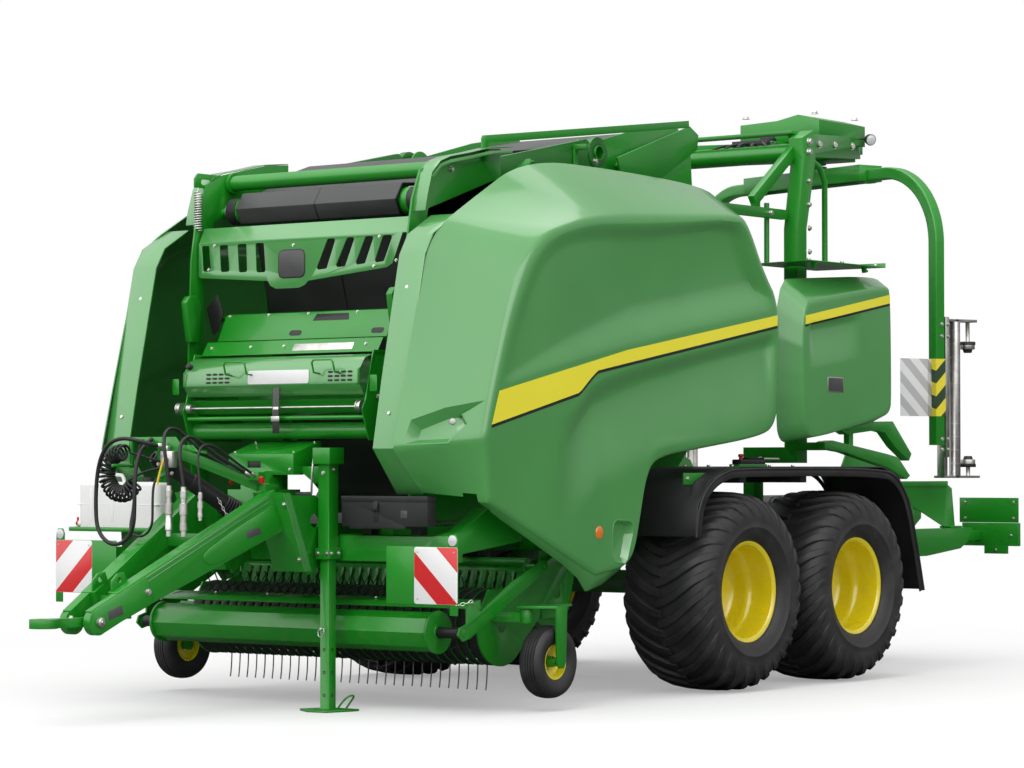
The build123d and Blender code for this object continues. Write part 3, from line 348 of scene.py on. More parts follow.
@dataclass(frozen=True)
class Lens(Finish):
    """A moulded reflector with small prisms; it glows faintly, a painted glow."""

    name: str
    colour: Colour

    def build(self) -> Shop:
        """Clear bright plastic over a grid of prisms, with a faint painted glow in the same colours."""
        # the faint emission makes every lens glow although no lamp behind it is lit: painted glow
        shop = Shop(self.name, Coat_Weight=1.0, Coat_Roughness=0.03, Emission_Strength=0.12)
        cell = (shop.axis("X").ripple(0.008) + shop.axis("Y").ripple(0.008)
                + shop.axis("Z").ripple(0.008)) * 90.0
        dark = tuple(0.55 * part for part in self.colour)
        tone_with_painted_glow = shop.blend(cell.clamp(), dark, self.colour)
        shop.feed("Base Color", tone_with_painted_glow)
        shop.feed("Emission Color", tone_with_painted_glow)
        shop.feed("Roughness", 0.12 + cell * 0.1)
        shop.emboss(cell, 0.0006)
        return shop


# the frames' green made lighter and paler for the panels: painted sheen standing in for the bright flanks
PANEL_GREEN_PAINTED_SHEEN = Paint("panel_green", (0.060, 0.285, 0.062), (0.053, 0.264, 0.055), coat=0.8)
FRAME_GREEN = Paint("frame_green", (0.006, 0.235, 0.008), (0.005, 0.208, 0.007), roughness=0.34, coat=0.20)
# a darker, duller copy of the frames' green for parts under and inside the machine: painted shade
GREEN_PAINTED_SHADE = Paint("deep_green", (0.005, 0.160, 0.007), (0.004, 0.138, 0.006), roughness=0.36, coat=0.15)
WHEEL_YELLOW = Paint("wheel_yellow", (0.80, 0.66, 0.010), (0.74, 0.60, 0.008), roughness=0.22, coat=0.8)
STRIPE_YELLOW = Paint("stripe_yellow", (0.86, 0.78, 0.030), (0.84, 0.75, 0.026), roughness=0.3, coat=0.4)
# black of the stripes' edges and the flaps, and also of patches laid over holes, vents and a notch as painted
# shade
BLACK_PRINT_AND_SHADE = Moulded("stripe_black", (0.012, 0.012, 0.012), (0.016, 0.016, 0.016), 0.35, 300.0, 0.00005)
BLACK_PLASTIC = Moulded("black_plastic", (0.014, 0.014, 0.015), (0.022, 0.022, 0.023), 0.42)
FENDER_BLACK = Moulded("fender_black", (0.012, 0.012, 0.013), (0.02, 0.02, 0.021), 0.34, 520.0, 0.0002)
HOSE_BLACK = Moulded("hose_black", (0.012, 0.012, 0.013), (0.020, 0.020, 0.021), 0.45, 600.0, 0.0002)
TANK_WHITE = Moulded("tank_white", (0.82, 0.82, 0.80), (0.76, 0.77, 0.75), 0.4, 300.0, 0.0002)
PLATE_WHITE = Moulded("plate_white", (0.80, 0.80, 0.80), (0.75, 0.75, 0.75), 0.35, 200.0, 0.00004)
CAP_RED = Moulded("cap_red", (0.55, 0.012, 0.010), (0.48, 0.010, 0.010), 0.35)
HANDLE_YELLOW = Moulded("handle_yellow", (0.80, 0.55, 0.02), (0.75, 0.50, 0.02), 0.4)
TYRE_RUBBER = Tread("tyre_rubber")
BELT_RUBBER = Belting("belt_rubber")
ZINC = Metal("zinc", (0.62, 0.61, 0.58), 0.32)
STEEL = Metal("steel", (0.46, 0.45, 0.43), 0.28, (1.0, 1.0, 0.06))
TINE_STEEL = Metal("tine_steel", (0.12, 0.12, 0.13), 0.38)
AMBER = Lens("amber_lens", (0.85, 0.20, 0.01))
WHITE_LENS = Lens("white_lens", (0.72, 0.72, 0.74))
RED_LENS = Lens("red_lens", (0.62, 0.02, 0.015))
BADGE_GREY = Moulded("badge_grey", (0.060, 0.060, 0.062), (0.075, 0.075, 0.077), 0.34, 260.0, 0.00005)
BOARD_STRIPES_LEFT = Slants("board_stripes_left", (0.62, 0.012, 0.014), (0.80, 0.80, 0.80), 0.294, 0.93,
                            -0.168, 0.45)
BOARD_STRIPES_RIGHT = Slants("board_stripes_right", (0.62, 0.012, 0.014), (0.80, 0.80, 0.80), 0.294, -0.93,
                             -0.168, 0.45)
SHEET_STRIPES = Slants("sheet_stripes", (0.80, 0.80, 0.80), (0.42, 0.42, 0.43), 0.15, -1.0, 0.02, 0.5, "X",
                       0.62, 0.4)
ARM_STRIPES = Slants("arm_stripes", (0.80, 0.68, 0.03), (0.012, 0.050, 0.014), 0.17, 1.0, 0.0, 0.5, "X")
TABLE_BELT = Belting("table_belt", 0.26)


# ---------------------------------------------------------------- modelling bench

MERGE = 0.00005


class Plane(Enum):
    """The plane that a flat outline is drawn in; each value gives where its two numbers and its depth go."""

    SIDE = (0, 2, 1)
    FRONT = (1, 2, 0)
    FLOOR = (0, 1, 2)

    def point(self, a: float, b: float, depth: float) -> Vector:
        """A point of the outline at a depth."""
        spot = [0.0, 0.0, 0.0]
        for place, value in zip(self.value, (a, b, depth)):
            spot[place] = value
        return Vector(spot)


class Body(str, Enum):
    """The moving bodies that pieces ride on."""

    MACHINE = "machine"
    PICKUP = "pickup"
    REEL = "reel"
    PRESS = "crop_press"
    ROLLER = "crop_roller"
    LID = "net_lid"
    JACK = "jack_leg"
    ROTOR = "wrap_rotor"
    TABLE = "wrap_table"


def clear_selection() -> None:
    """Leaves nothing selected and nothing in edit mode."""
    if bpy.context.object is not None and bpy.context.object.mode != "OBJECT":
        bpy.ops.object.mode_set(mode="OBJECT")
    for piece in list(bpy.context.selected_objects):
        piece.select_set(False)


def hold(piece: Piece) -> None:
    """Selects one object alone and makes it active."""
    clear_selection()
    piece.select_set(True)
    bpy.context.view_layer.objects.active = piece


@contextmanager
def whole_mesh(piece: Piece) -> Iterator[None]:
    """Edit mode with all of a piece selected."""
    hold(piece)
    bpy.ops.object.mode_set(mode="EDIT")
    bpy.ops.mesh.select_all(action="SELECT")
    yield
    bpy.ops.object.mode_set(mode="OBJECT")


def adopt(mesh: bpy.types.Mesh) -> Piece:
    """Puts a mesh in the scene as an object and holds it."""
    piece = bpy.data.objects.new("piece", mesh)
    bpy.context.scene.collection.objects.link(piece)
    hold(piece)
    return piece


def built(points: Sequence[Point3], faces: Sequence[Sequence[int]],
          edges: Sequence[Sequence[int]] = ()) -> Piece:
    """A piece of these points and the faces, or edges, between them."""
    mesh = bpy.data.meshes.new("mesh")
    mesh.from_pydata(points, edges, faces)
    return adopt(mesh)


def quads(rows: int, count: int, closed: bool = True,
          looped: bool = False) -> list[tuple[int, int, int, int]]:
    """Faces between neighbouring rows of points that are listed row after row.

    Args:
        rows: how many rows there are.
        count: how many points a row has.
        closed: whether each row is a ring.
        looped: whether the last row joins the first.
    """
    faces = []
    for row in range(rows if looped else rows - 1):
        near, far = row * count, (row + 1) % rows * count
        for i in range(count if closed else count - 1):
            j = (i + 1) % count
            faces.append((near + i, near + j, far + j, far + i))
    return faces


def modified(piece: Piece, kind: str, **settings: object) -> Piece:
    """Puts a modifier with these settings on a piece and applies it."""
    hold(piece)
    change = piece.modifiers.new("change", kind)
    for name, value in settings.items():
        setattr(change, name, value)
    bpy.ops.object.modifier_apply(modifier=change.name)
    return piece


def smooth(piece: Piece, angle: float = 35.0) -> Piece:
    """Shades a piece smooth up to an angle in degrees."""
    hold(piece)
    bpy.ops.object.shade_smooth_by_angle(angle=math.radians(angle))
    return piece


def rounded(piece: Piece, width: float, segments: int = 2, angle: float = 38.0) -> Piece:
    """Rounds the sharp edges of a piece and shades it.

    Args:
        piece: the object.
        width: how wide the rounding is, in metres.
        segments: how many faces go round an edge.
        angle: edges sharper than this are rounded, in degrees.
    """
    if width > 0:
        modified(piece, "BEVEL", width=width, segments=segments, limit_method="ANGLE",
                 angle_limit=math.radians(angle), miter_outer="MITER_ARC")
    return smooth(piece)


def seal(piece: Piece) -> Piece:
    """Merges a piece's doubles and turns its faces outward."""
    with whole_mesh(piece):
        bpy.ops.mesh.remove_doubles(threshold=MERGE)
        bpy.ops.mesh.normals_make_consistent(inside=False)
    return piece


def plate(outline: Sequence[Point2], plane: Plane, low: float, high: float, edge: float = 0.003) -> Piece:
    """A flat plate: a filled ring moved to its outline and extruded.

    Args:
        outline: corners in the plane, in order.
        plane: which plane they lie in.
        low: where the plate starts along the third axis.
        high: where it ends.
        edge: rounding of its edges.
    """
    clear_selection()
    bpy.ops.mesh.primitive_circle_add(vertices=len(outline), fill_type="NGON")
    piece = bpy.context.object
    for vertex, corner in zip(piece.data.vertices, outline):
        vertex.co = plane.point(*corner, low)
    piece.location = (0, 0, 0)
    with whole_mesh(piece):
        bpy.ops.mesh.extrude_region_move(TRANSFORM_OT_translate={"value": plane.point(0, 0, high - low)})
    return rounded(seal(piece), edge)


def bar(low: Point3, high: Point3, edge: float = 0.003) -> Piece:
    """A block between two corners with rounded edges."""
    outline = [(low[0], low[1]), (high[0], low[1]), (high[0], high[1]), (low[0], high[1])]
    return plate(outline, Plane.FLOOR, low[2], high[2], edge)


def curved(points: Sequence[Point3], radius: float, kind: str = "NURBS", closed: bool = False, sides: int = 3,
           steps: int = 8) -> bpy.types.Curve:
    """A round line along points.

    Args:
        points: the control points.
        radius: half the line's thickness.
        kind: NURBS for a smooth line, POLY for straight runs.
        closed: whether it joins its start.
        sides: how round it is across.
        steps: how round it is along.
    """
    line = bpy.data.curves.new("line", "CURVE")
    line.dimensions = "3D"
    line.bevel_depth = radius
    line.bevel_resolution = sides
    line.use_fill_caps = not closed
    run = line.splines.new(kind)
    run.points.add(len(points) - 1)
    for spot, point in zip(run.points, points):
        spot.co = (*point, 1.0)
    run.order_u = 3
    run.use_cyclic_u = closed
    run.use_endpoint_u = not closed
    run.resolution_u = steps
    return line


def pipe(points: Sequence[Point3], radius: float, closed: bool = False, smoothness: int = 8) -> Piece:
    """A round tube that follows a smooth line through its control points."""
    return meshed(curved(points, radius, closed=closed, steps=smoothness))


def rail(points: Sequence[Point3], radius: float, sides: int = 3) -> Piece:
    """A bent rod: straight runs with sharp corners."""
    return meshed(curved(points, radius, "POLY", sides=sides))


def meshed(line: bpy.types.Curve) -> Piece:
    """Turns a curve into a mesh object and removes the curve."""
    holder = bpy.data.objects.new("line", line)
    bpy.context.scene.collection.objects.link(holder)
    depsgraph = bpy.context.evaluated_depsgraph_get()
    mesh = bpy.data.meshes.new_from_object(holder.evaluated_get(depsgraph))
    bpy.data.objects.remove(holder)
    return smooth(seal(adopt(mesh)), 50)


def turned(profile: Sequence[Point2], centre: Point3, axis: Point3, steps: int = 48) -> Piece:
    """A turned piece: a profile of (along, radius) spun about an axis.

    Args:
        profile: points along the axis and out from it.
        centre: where the axis's zero is.
        axis: the way that along points.
        steps: faces round the piece.
    """
    along = Vector(axis).normalized()
    side = along.orthogonal().normalized()
    points = [Vector(centre) + along * a + side * r for a, r in profile]
    piece = built(points, [], [(i, i + 1) for i in range(len(points) - 1)])
    with whole_mesh(piece):
        bpy.ops.mesh.spin(steps=steps, angle=math.tau, center=centre, axis=along)
    return smooth(seal(piece), 40)


def rod(start: Point3, end: Point3, radius: float, steps: int = 24, edge: float = 0.002) -> Piece:
    """A round bar with a small chamfer at each end."""
    length = (Vector(end) - Vector(start)).length
    profile = [(0, 0), (0, radius - edge), (edge, radius), (length - edge, radius), (length, radius - edge),
               (length, 0)]
    return turned(profile, start, Vector(end) - Vector(start), steps)


def join(pieces: Iterable[Piece]) -> Piece:
    """Makes several meshes one object."""
    pieces = list(pieces)
    hold(pieces[0])
    for piece in pieces[1:]:
        piece.select_set(True)
    bpy.ops.object.join()
    return bpy.context.object


def copies(pattern: Piece, places: Sequence[Matrix]) -> Piece:
    """Copies of a small piece modelled at the origin, joined; the pattern is used up."""
    shape = bmesh.new()
    for place in places:
        start = len(shape.verts)
        shape.from_mesh(pattern.data)
        shape.verts.ensure_lookup_table()
        for vertex in shape.verts[start:]:
            vertex.co = place @ vertex.co
    mesh = bpy.data.meshes.new("copies")
    shape.to_mesh(mesh)
    shape.free()
    bpy.data.objects.remove(pattern)
    return smooth(adopt(mesh), 40)


def toward(point: Point3, way: Point3) -> Matrix:
    """The placing that turns +Z to a direction and moves to a point."""
    return Matrix.Translation(point) @ Vector(way).to_track_quat("Z", "Y").to_matrix().to_4x4()


def mirrored(piece: Piece) -> Piece:
    """A copy of a piece on the machine's other side."""
    mesh = piece.data.copy()
    mesh.transform(Matrix.Scale(-1, 4, (0, 1, 0)))
    mesh.flip_normals()
    return smooth(adopt(mesh))


def settle(
    piece: Piece, name: str, finish: Finish, body: str = Body.MACHINE, node: str = ""
) -> Piece:
    """Names a piece, dresses it, and sets what it rides on and stands for.

    Args:
        piece: the object.
        name: its name in the model.
        finish: what it is dressed in.
        body: the CAD body it moves with.
        node: the CAD node that it replaces.

    Returns:
        The piece.
    """
    piece.name = name
    piece.data.name = name
    dress(piece, finish)
    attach(piece, str(body.value) if isinstance(body, Body) else body)
    if node:
        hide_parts(node)
    return piece


def dress(piece: Piece, finish: Finish) -> None:
    """Gives a piece one finish in place of any other."""
    piece.data.materials.clear()
    piece.data.materials.append(finish.material())


def settle_pair(
    piece: Piece, name: str, finish: Finish | tuple[Finish, Finish], body: str = Body.MACHINE,
    node: str = ""
) -> None:
    """Settles a left piece and its copy on the right; {} in the names stands for the side.

    Args:
        piece: the left piece.
        name: both pieces' name.
        finish: what both are dressed in, or one finish for each side.
        body: the CAD bodies that they move with.
        node: the CAD nodes that they replace.
    """
    finishes = finish if isinstance(finish, tuple) else (finish, finish)
    for side, shown, worn in zip(("left", "right"), (piece, mirrored(piece)), finishes):
        settle(shown, name.format(side), worn, body.format(side), node.format(side))


def softened(node: str, edge: float) -> Piece:
    """A copy of a CAD node, merged, with its flat faces made whole and its edges rounded."""
    piece = adopt(frame["nodes"][node].data.copy())
    bpy.ops.mesh.customdata_custom_splitnormals_clear()
    with whole_mesh(piece):
        bpy.ops.mesh.remove_doubles(threshold=MERGE)
        bpy.ops.mesh.dissolve_limited(angle_limit=math.radians(1.0))
    return rounded(piece, edge)


def screw_head(size: float) -> Piece:
    """A hexagon head on a washer at the origin, size across its corners, that points up."""
    clear_selection()
    bpy.ops.mesh.primitive_cylinder_add(vertices=6, radius=size / 2, depth=size * 0.4,
                                        location=(0, 0, size * 0.28))
    head = bpy.context.object
    bpy.ops.object.transform_apply(location=True, rotation=True, scale=True)
    rounded(head, size * 0.05, 1, 50)
    washer = turned([(0, 0), (0, size * 0.68), (size * 0.08, size * 0.66), (size * 0.1, 0)], (0, 0, 0), UP,
                    12)
    return join([head, washer])


def screws(name: str, size: float, spots: Iterable[Spot], body: str = Body.MACHINE,
           finish: Finish = ZINC) -> None:
    """Screw heads at points, each facing a way."""
    settle(copies(screw_head(size), [toward(point, way) for point, way in spots]), name, finish, body)


def on_both_sides(spots: Iterable[Spot]) -> list[Spot]:
    """Points and ways, and then the same on the machine's other side."""
    left = list(spots)
    return left + [((x, -y, z), (a, -b, c)) for (x, y, z), (a, b, c) in left]


def cut(piece: Piece, *tools: Piece) -> Piece:
    """Takes closed shapes out of a piece; the shapes are used up."""
    for tool in tools:
        modified(piece, "BOOLEAN", operation="DIFFERENCE", solver="EXACT", object=tool)
        bpy.data.objects.remove(tool)
    return smooth(piece)


def group(name: str, finish: Finish, *pieces: Piece, body: str = Body.MACHINE) -> Piece:
    """Joins pieces into one and dresses it."""
    return settle(join(pieces), name, finish, body)


def without_faces(piece: Piece, unwanted: Callable[[bmesh.types.BMFace], bool], lift: float = 0.0
                  ) -> Piece:
    """Takes some faces off a piece and moves the rest out along their normals.

    Args:
        piece: the object, changed in place.
        unwanted: tells which faces go.
        lift: how far the rest moves.
    """
    shape = bmesh.new()
    shape.from_mesh(piece.data)
    bmesh.ops.delete(shape, geom=[face for face in shape.faces if unwanted(face)], context="FACES")
    if lift:
        shape.normal_update()
        for corner in shape.verts:
            corner.co += corner.normal * lift
    shape.to_mesh(piece.data)
    shape.free()
    return piece


def posed(piece: Piece, place: Matrix) -> Piece:
    """Moves a piece that was modelled at the origin to its place, in its mesh."""
    piece.data.transform(place)
    return piece


def both(piece: Piece) -> Piece:
    """A piece together with its copy on the machine's other side."""
    return join([mirrored(piece), piece])


def rounded_slot(width: float, height: float, steps: int = 5) -> list[Point2]:
    """The outline of a slot with round ends about the origin."""
    radius = height / 2
    reach = width / 2 - radius
    outline = []
    for end, start in ((1, -90), (-1, 90)):
        for i in range(steps + 1):
            angle = math.radians(start + 180 * i / steps)
            outline.append((end * reach + radius * math.cos(angle), radius * math.sin(angle)))
    return outline


def sheet_plate(width: float, height: float, thick: float, point: Point3, way: Point3,
                corner: float = 0.006) -> Piece:
    """A thin rectangular plate with round corners that faces a way.

    Args:
        width: its size across.
        height: its size up.
        thick: how far it stands out of the point's plane.
        point: the middle of its back.
        way: the direction that it faces.
        corner: how far its corners are cut.
    """
    half, tall = width / 2, height / 2
    corners = [(-half, -tall), (half, -tall), (half, tall), (-half, tall)]
    outline = []
    for (ax, ay), (bx, by), (cx, cy) in zip(corners[-1:] + corners, corners, corners[1:] + corners[:1]):
        back = Vector((ax - bx, ay - by)).normalized() * corner
        ahead = Vector((cx - bx, cy - by)).normalized() * corner
        outline += [(bx + back.x, by + back.y),
                    (bx + (back.x + ahead.x) * 0.29, by + (back.y + ahead.y) * 0.29),
                    (bx + ahead.x, by + ahead.y)]
    return posed(plate(outline, Plane.FLOOR, 0.0, thick, min(0.0006, thick / 3)), toward(point, way))


def folded(path: Sequence[Point2], thick: float, low: float, high: float, edge: float = 0.0015) -> Piece:
    """A sheet folded along a side path, as wide as low to high in Y."""
    inner = []
    for i, spot in enumerate(path):
        before, after = path[max(i - 1, 0)], path[min(i + 1, len(path) - 1)]
        dx, dz = after[0] - before[0], after[1] - before[1]
        size = math.hypot(dx, dz)
        inner.append((spot[0] - dz / size * thick, spot[1] + dx / size * thick))
    return plate([*path, *reversed(inner)], Plane.SIDE, low, high, edge)


def spring(start: Point3, end: Point3, radius: float, wire: float, turns: int) -> Piece:
    """A coil spring between two points."""
    axis = Vector(end) - Vector(start)
    side = axis.orthogonal().normalized()
    third = axis.normalized().cross(side)
    steps = 8
    points = []
    for i in range(turns * steps + 1):
        angle = math.tau * i / steps
        out = side * math.cos(angle) + third * math.sin(angle)
        points.append(tuple(Vector(start) + axis * (i / (turns * steps)) + out * radius))
    return pipe(points, wire, smoothness=2)


def leaned(piece: Piece, root: float, slope: float) -> Piece:
    """Shears a piece sideways: Y grows with X by a slope from a root."""
    for vertex in piece.data.vertices:
        vertex.co.y += slope * (vertex.co.x - root)
    return piece


# ---------------------------------------------------------------- studio


@dataclass
class Studio:
    """Floor, light and the camera's standpoint."""

    eye: Point3 = (15.485, 11.813, 1.33)
    heading: float = 37.5
    tilt: float = 1.51
    lens: float = 111.7
    floor: float = 60.0
    rear_level: float = 0.42
    diffuse_gain: float = 0.85
    gloss_gain: float = 1.5

    def build(self) -> None:
        """Makes the floor, the world, the lamps and the camera."""
        self.place_camera()
        self.lay_floor()
        self.light_world()
        self.hang_lamp("key", (13.0, 3.0, 12.0), 9.0, 900.0)
        self.hang_lamp("side", (1.0, 15.0, 8.0), 8.0, 330.0)
        self.hang_lamp("top", (-2.0, 0.0, 13.0), 10.0, 520.0)

    def place_camera(self) -> None:
        """Stands the camera in front of the machine's left corner."""
        lens = bpy.data.cameras.new("camera")
        lens.lens = self.lens
        lens.sensor_width = 36.0
        lens.clip_end = 300.0
        camera = bpy.data.objects.new("camera", lens)
        bpy.context.scene.collection.objects.link(camera)
        way = Vector((-math.cos(math.radians(self.heading)), -math.sin(math.radians(self.heading)), 0))
        way.z = math.tan(math.radians(self.tilt))
        camera.location = self.eye
        camera.rotation_euler = way.to_track_quat("-Z", "Y").to_euler()
        bpy.context.scene.camera = camera

    def lay_floor(self) -> None:
        """A wide pale floor that fades into the backdrop's white."""
        clear_selection()
        bpy.ops.mesh.primitive_grid_add(x_subdivisions=8, y_subdivisions=8, size=self.floor * 2)
        floor = bpy.context.object
        floor.name = "floor"
        shop = Shop("floor_pale", Roughness=0.75, Specular_IOR_Level=0.2)
        speck = shop.noise(3.0, 3.0)
        seen = shop.node("ShaderNodeLightPath", {}, {}, "Is Camera Ray")
        pale = shop.blend(speck, (0.84, 0.84, 0.84), (0.87, 0.87, 0.87))
        glossy = shop.node("ShaderNodeLightPath", {}, {}, "Is Glossy Ray")
        bounced = shop.blend(glossy, (0.40, 0.40, 0.40), (0.09, 0.09, 0.09))
        shop.feed("Base Color", shop.blend(seen, bounced, pale))
        away = shop.node("ShaderNodeVectorMath", {"operation": "LENGTH"}, {0: shop.place()}, "Value")
        plain = shop.node("ShaderNodeEmission", {}, {"Color": (1, 1, 1, 1), "Strength": 1.0})
        lit = Wire(shop, shop.shader.outputs[0])
        mixed = shop.node(
            "ShaderNodeMixShader", {}, {0: (away.ramp(3.6, 9.5) * 0.68 + 0.32) * seen, 1: lit, 2: plain})
        shop.tree.links.new(mixed.socket, shop.tree.nodes["Material Output"].inputs["Surface"])
        floor.data.materials.append(shop.material)

    def light_world(self) -> None:
        """White to the camera and through glass; else a soft dome, brighter ahead and above."""
        world = bpy.data.worlds.new("studio")
        bpy.context.scene.world = world
        world.use_nodes = True
        sky = Sky(world)
        way = sky.node("ShaderNodeTexCoord", {}, {}, "Generated")
        ahead = sky.node("ShaderNodeSeparateXYZ", {}, {0: way}, "X").ramp(-0.9, 1.0)
        above = sky.node("ShaderNodeSeparateXYZ", {}, {0: way}, "Z").ramp(-0.1, 1.0)
        in_gloss = sky.node("ShaderNodeLightPath", {}, {}, "Is Glossy Ray")
        seen = sky.node("ShaderNodeLightPath", {}, {}, "Is Camera Ray")
        through = sky.node("ShaderNodeLightPath", {}, {}, "Is Transmission Ray")
        strength = (ahead * self.diffuse_gain + self.rear_level) * (1 - in_gloss)
        raised = sky.node("ShaderNodeSeparateXYZ", {}, {0: way}, "Z").ramp(-0.03, 0.13) * 1.2 + 0.22
        strength = strength + (ahead * self.gloss_gain + self.rear_level) * in_gloss * raised
        white = {"Color": (1, 1, 1, 1)}
        dome = sky.node("ShaderNodeBackground", {}, {**white, "Strength": strength * (above * 0.4 + 0.75)})
        plain = sky.node("ShaderNodeBackground", {}, {**white, "Strength": 1.0})
        choice = sky.node("ShaderNodeMixShader", {}, {0: (seen + through).clamp(), 1: dome, 2: plain})
        output = sky.tree.nodes.new("ShaderNodeOutputWorld")
        sky.tree.links.new(choice.socket, output.inputs[0])
        bpy.context.scene.view_settings.view_transform = "Standard"

    def hang_lamp(self, name: str, place: Point3, size: float, power: float) -> None:
        """A large soft lamp that faces the machine."""
        lamp = bpy.data.lights.new(name, "AREA")
        lamp.size = size
        lamp.energy = power
        holder = bpy.data.objects.new(name, lamp)
        bpy.context.scene.collection.objects.link(holder)
        holder.location = place
        holder.rotation_euler = (Vector((0.0, 0.0, 1.2)) - Vector(place)).to_track_quat("-Z", "Y").to_euler()


# ---------------------------------------------------------------- hoses on the drawbar


def lay_cord(node: str, points: Sequence[Point3], diameter: float, sides: int = 4, steps: int = 10) -> Piece:
    """Lays a dressed cord, left as a curve, in place of its CAD node."""
    cord = bpy.data.objects.new(node + "_line", curved(points, diameter / 2, sides=sides, steps=steps))
    bpy.context.scene.collection.objects.link(cord)
    cord.data.materials.append(HOSE_BLACK.material())
    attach(cord, "machine")
    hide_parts(node)
    return cord


def metres(route: Iterable[Point3]) -> list[Point3]:
    """A route given in millimetres."""
    return [tuple(0.001 * value for value in point) for point in route]


@dataclass
class HoseRun:
    """One free hose: its route, in millimetres, is the control points of a smooth line."""

    name: str
    diameter: float
    length: float
    stiffness: str
    route: Sequence[Point3]
    far_end: str = "object"
    with_pieces: Sequence[str] = ()
    swell: float = 1.35

    def build(self) -> None:
        points = metres(self.route)
        hose = lay_cord(self.name, points, self.diameter)
        start, after = Vector(points[0]), Vector(points[1])
        radius = self.diameter / 2
        ferrule = turned(
            [(-0.002, 0), (-0.002, radius * 1.45), (0.012, radius * self.swell * 1.1), (0.034, radius * 1.12),
             (0.036, radius * 0.9)],
            start, after - start, 20,
        )
        settle(ferrule, self.name + "_ferrule", ZINC)
        LOG.info("hose %s", self.name)


HOSES = [
    HoseRun("hose_pressure", 0.020, 0.88, "medium", [
        (2640, 110, 1290), (2730, 76, 1334), (2818, 42, 1384), (2900, 10, 1440), (2962, -14, 1500),
        (3018, -26, 1538), (3082, -20, 1542), (3134, -6, 1512), (3160, 12, 1458), (3162, 26, 1394),
        (3156, 36, 1314), (3150, 42, 1235),
    ], "fitting", ["couplings"]),
    HoseRun("hose_return", 0.020, 0.79, "medium", [
        (2640, 154, 1290), (2730, 134, 1336), (2818, 112, 1382), (2896, 94, 1430), (2952, 84, 1470),
        (3012, 80, 1496), (3074, 86, 1490), (3122, 98, 1452), (3144, 112, 1396), (3146, 126, 1330),
        (3142, 142, 1228),
    ]),
    HoseRun("hose_brake", 0.014, 0.73, "medium", [
        (2640, 200, 1287), (2730, 194, 1330), (2816, 190, 1376), (2890, 188, 1416), (2952, 190, 1442),
        (3010, 194, 1454), (3066, 202, 1444), (3106, 214, 1408), (3124, 226, 1354), (3126, 238, 1284),
        (3124, 246, 1200),
    ]),
    HoseRun("hose_loop", 0.022, 1.70, "limp", [
        (3062, -92, 1446), (3124, -98, 1452), (3182, -134, 1470), (3220, -196, 1488), (3228, -270, 1484),
        (3226, -338, 1456), (3222, -390, 1398), (3220, -420, 1318), (3220, -432, 1220), (3220, -434, 1120),
        (3220, -428, 1022), (3220, -390, 957), (3220, -325, 919), (3220, -249, 919), (3220, -184, 957),
        (3220, -150, 1022), (3218, -146, 1104), (3216, -148, 1196), (3208, -152, 1290), (3186, -158, 1376),
        (3136, -166, 1444), (3062, -172, 1485),
    ]),
    HoseRun("cable_loop", 0.014, 1.035, "limp", [
        (3062, -88, 1290), (3104, -85, 1282), (3136, -82, 1246), (3148, -79, 1192), (3150, -78, 1130),
        (3150, -78, 1066), (3150, -82, 1026), (3150, -108, 984), (3148, -154, 962), (3144, -206, 962),
        (3136, -252, 982), (3116, -278, 1022), (3090, -286, 1082), (3076, -287, 1170), (3075, -284, 1262),
        (3075, -276, 1350), (3074, -262, 1424), (3062, -234, 1482),
    ]),
]


@dataclass
class CurlyCable:
    """The coiled cable: its helix is bent round in an open ring and ends in two short leads."""

    centre: Point3 = (3.145, -0.314, 1.300)
    ring: float = 0.111
    coil: float = 0.044
    thickness: float = 0.014
    turns: float = 21.75
    steps: int = 12
    start: float = 80.0
    sweep: float = 250.0
    phase: float = -90.0
    shortcut: float = 0.976
    leads: tuple = (
        ((3062, -108, 1364), (3102, -136, 1376), (3126, -176, 1394), (3118, -228, 1402), (3104, -264, 1404)),
        ((3124, -232, 1286), (3112, -186, 1304), (3094, -136, 1320), (3062, -104, 1330)),
    )

    def turn_point(self, index: int) -> Point3:
        """One point of the helix round the ring."""
        round_ring = math.radians(self.start + self.sweep * index / (self.turns * self.steps))
        round_coil = math.radians(self.phase) + math.tau * index / self.steps
        # neighbouring turns differ a little in size
        size = self.coil * (1 - 0.05 * math.sin(index / self.steps * 2.4) ** 2)
        out = Vector((0, math.cos(round_ring), math.sin(round_ring)))
        spot = Vector(self.centre) + out * (self.ring + size * math.cos(round_coil))
        return tuple(spot + Vector((size * math.sin(round_coil), 0, 0)))

    def build(self) -> None:
        """Winds the cable and dresses it."""
        first, last = (metres(lead) for lead in self.leads)
        points = first + [self.turn_point(i) for i in range(int(self.turns * self.steps) + 1)] + last
        cable = lay_cord("cable_coil", points, self.thickness, 2, 2)


def build_hoses() -> None:
    """Lays all the hoses, the coiled cable and the dressed couplings."""
    for hose in HOSES:
        hose.build()
    CurlyCable().build()
    dress(frame["nodes"]["couplings"], ZINC)


# ---------------------------------------------------------------- shells


def resampled(corners: Sequence[Sequence[float]], rounds: int,
              share: float = 0.25) -> list[tuple[float, ...]]:
    """A closed outline with its corners cut a number of times, which rounds them.

    Args:
        corners: points of any number of values each.
        rounds: how many times each corner is cut.
        share: how much of each side a cut takes.
    """
    points = [tuple(corner) for corner in corners]
    for _ in range(rounds):
        softer = []
        for a, b in zip(points, points[1:] + points[:1]):
            softer.append(tuple(u + (v - u) * share for u, v in zip(a, b)))
            softer.append(tuple(v - (v - u) * share for u, v in zip(a, b)))
        points = softer
    return points


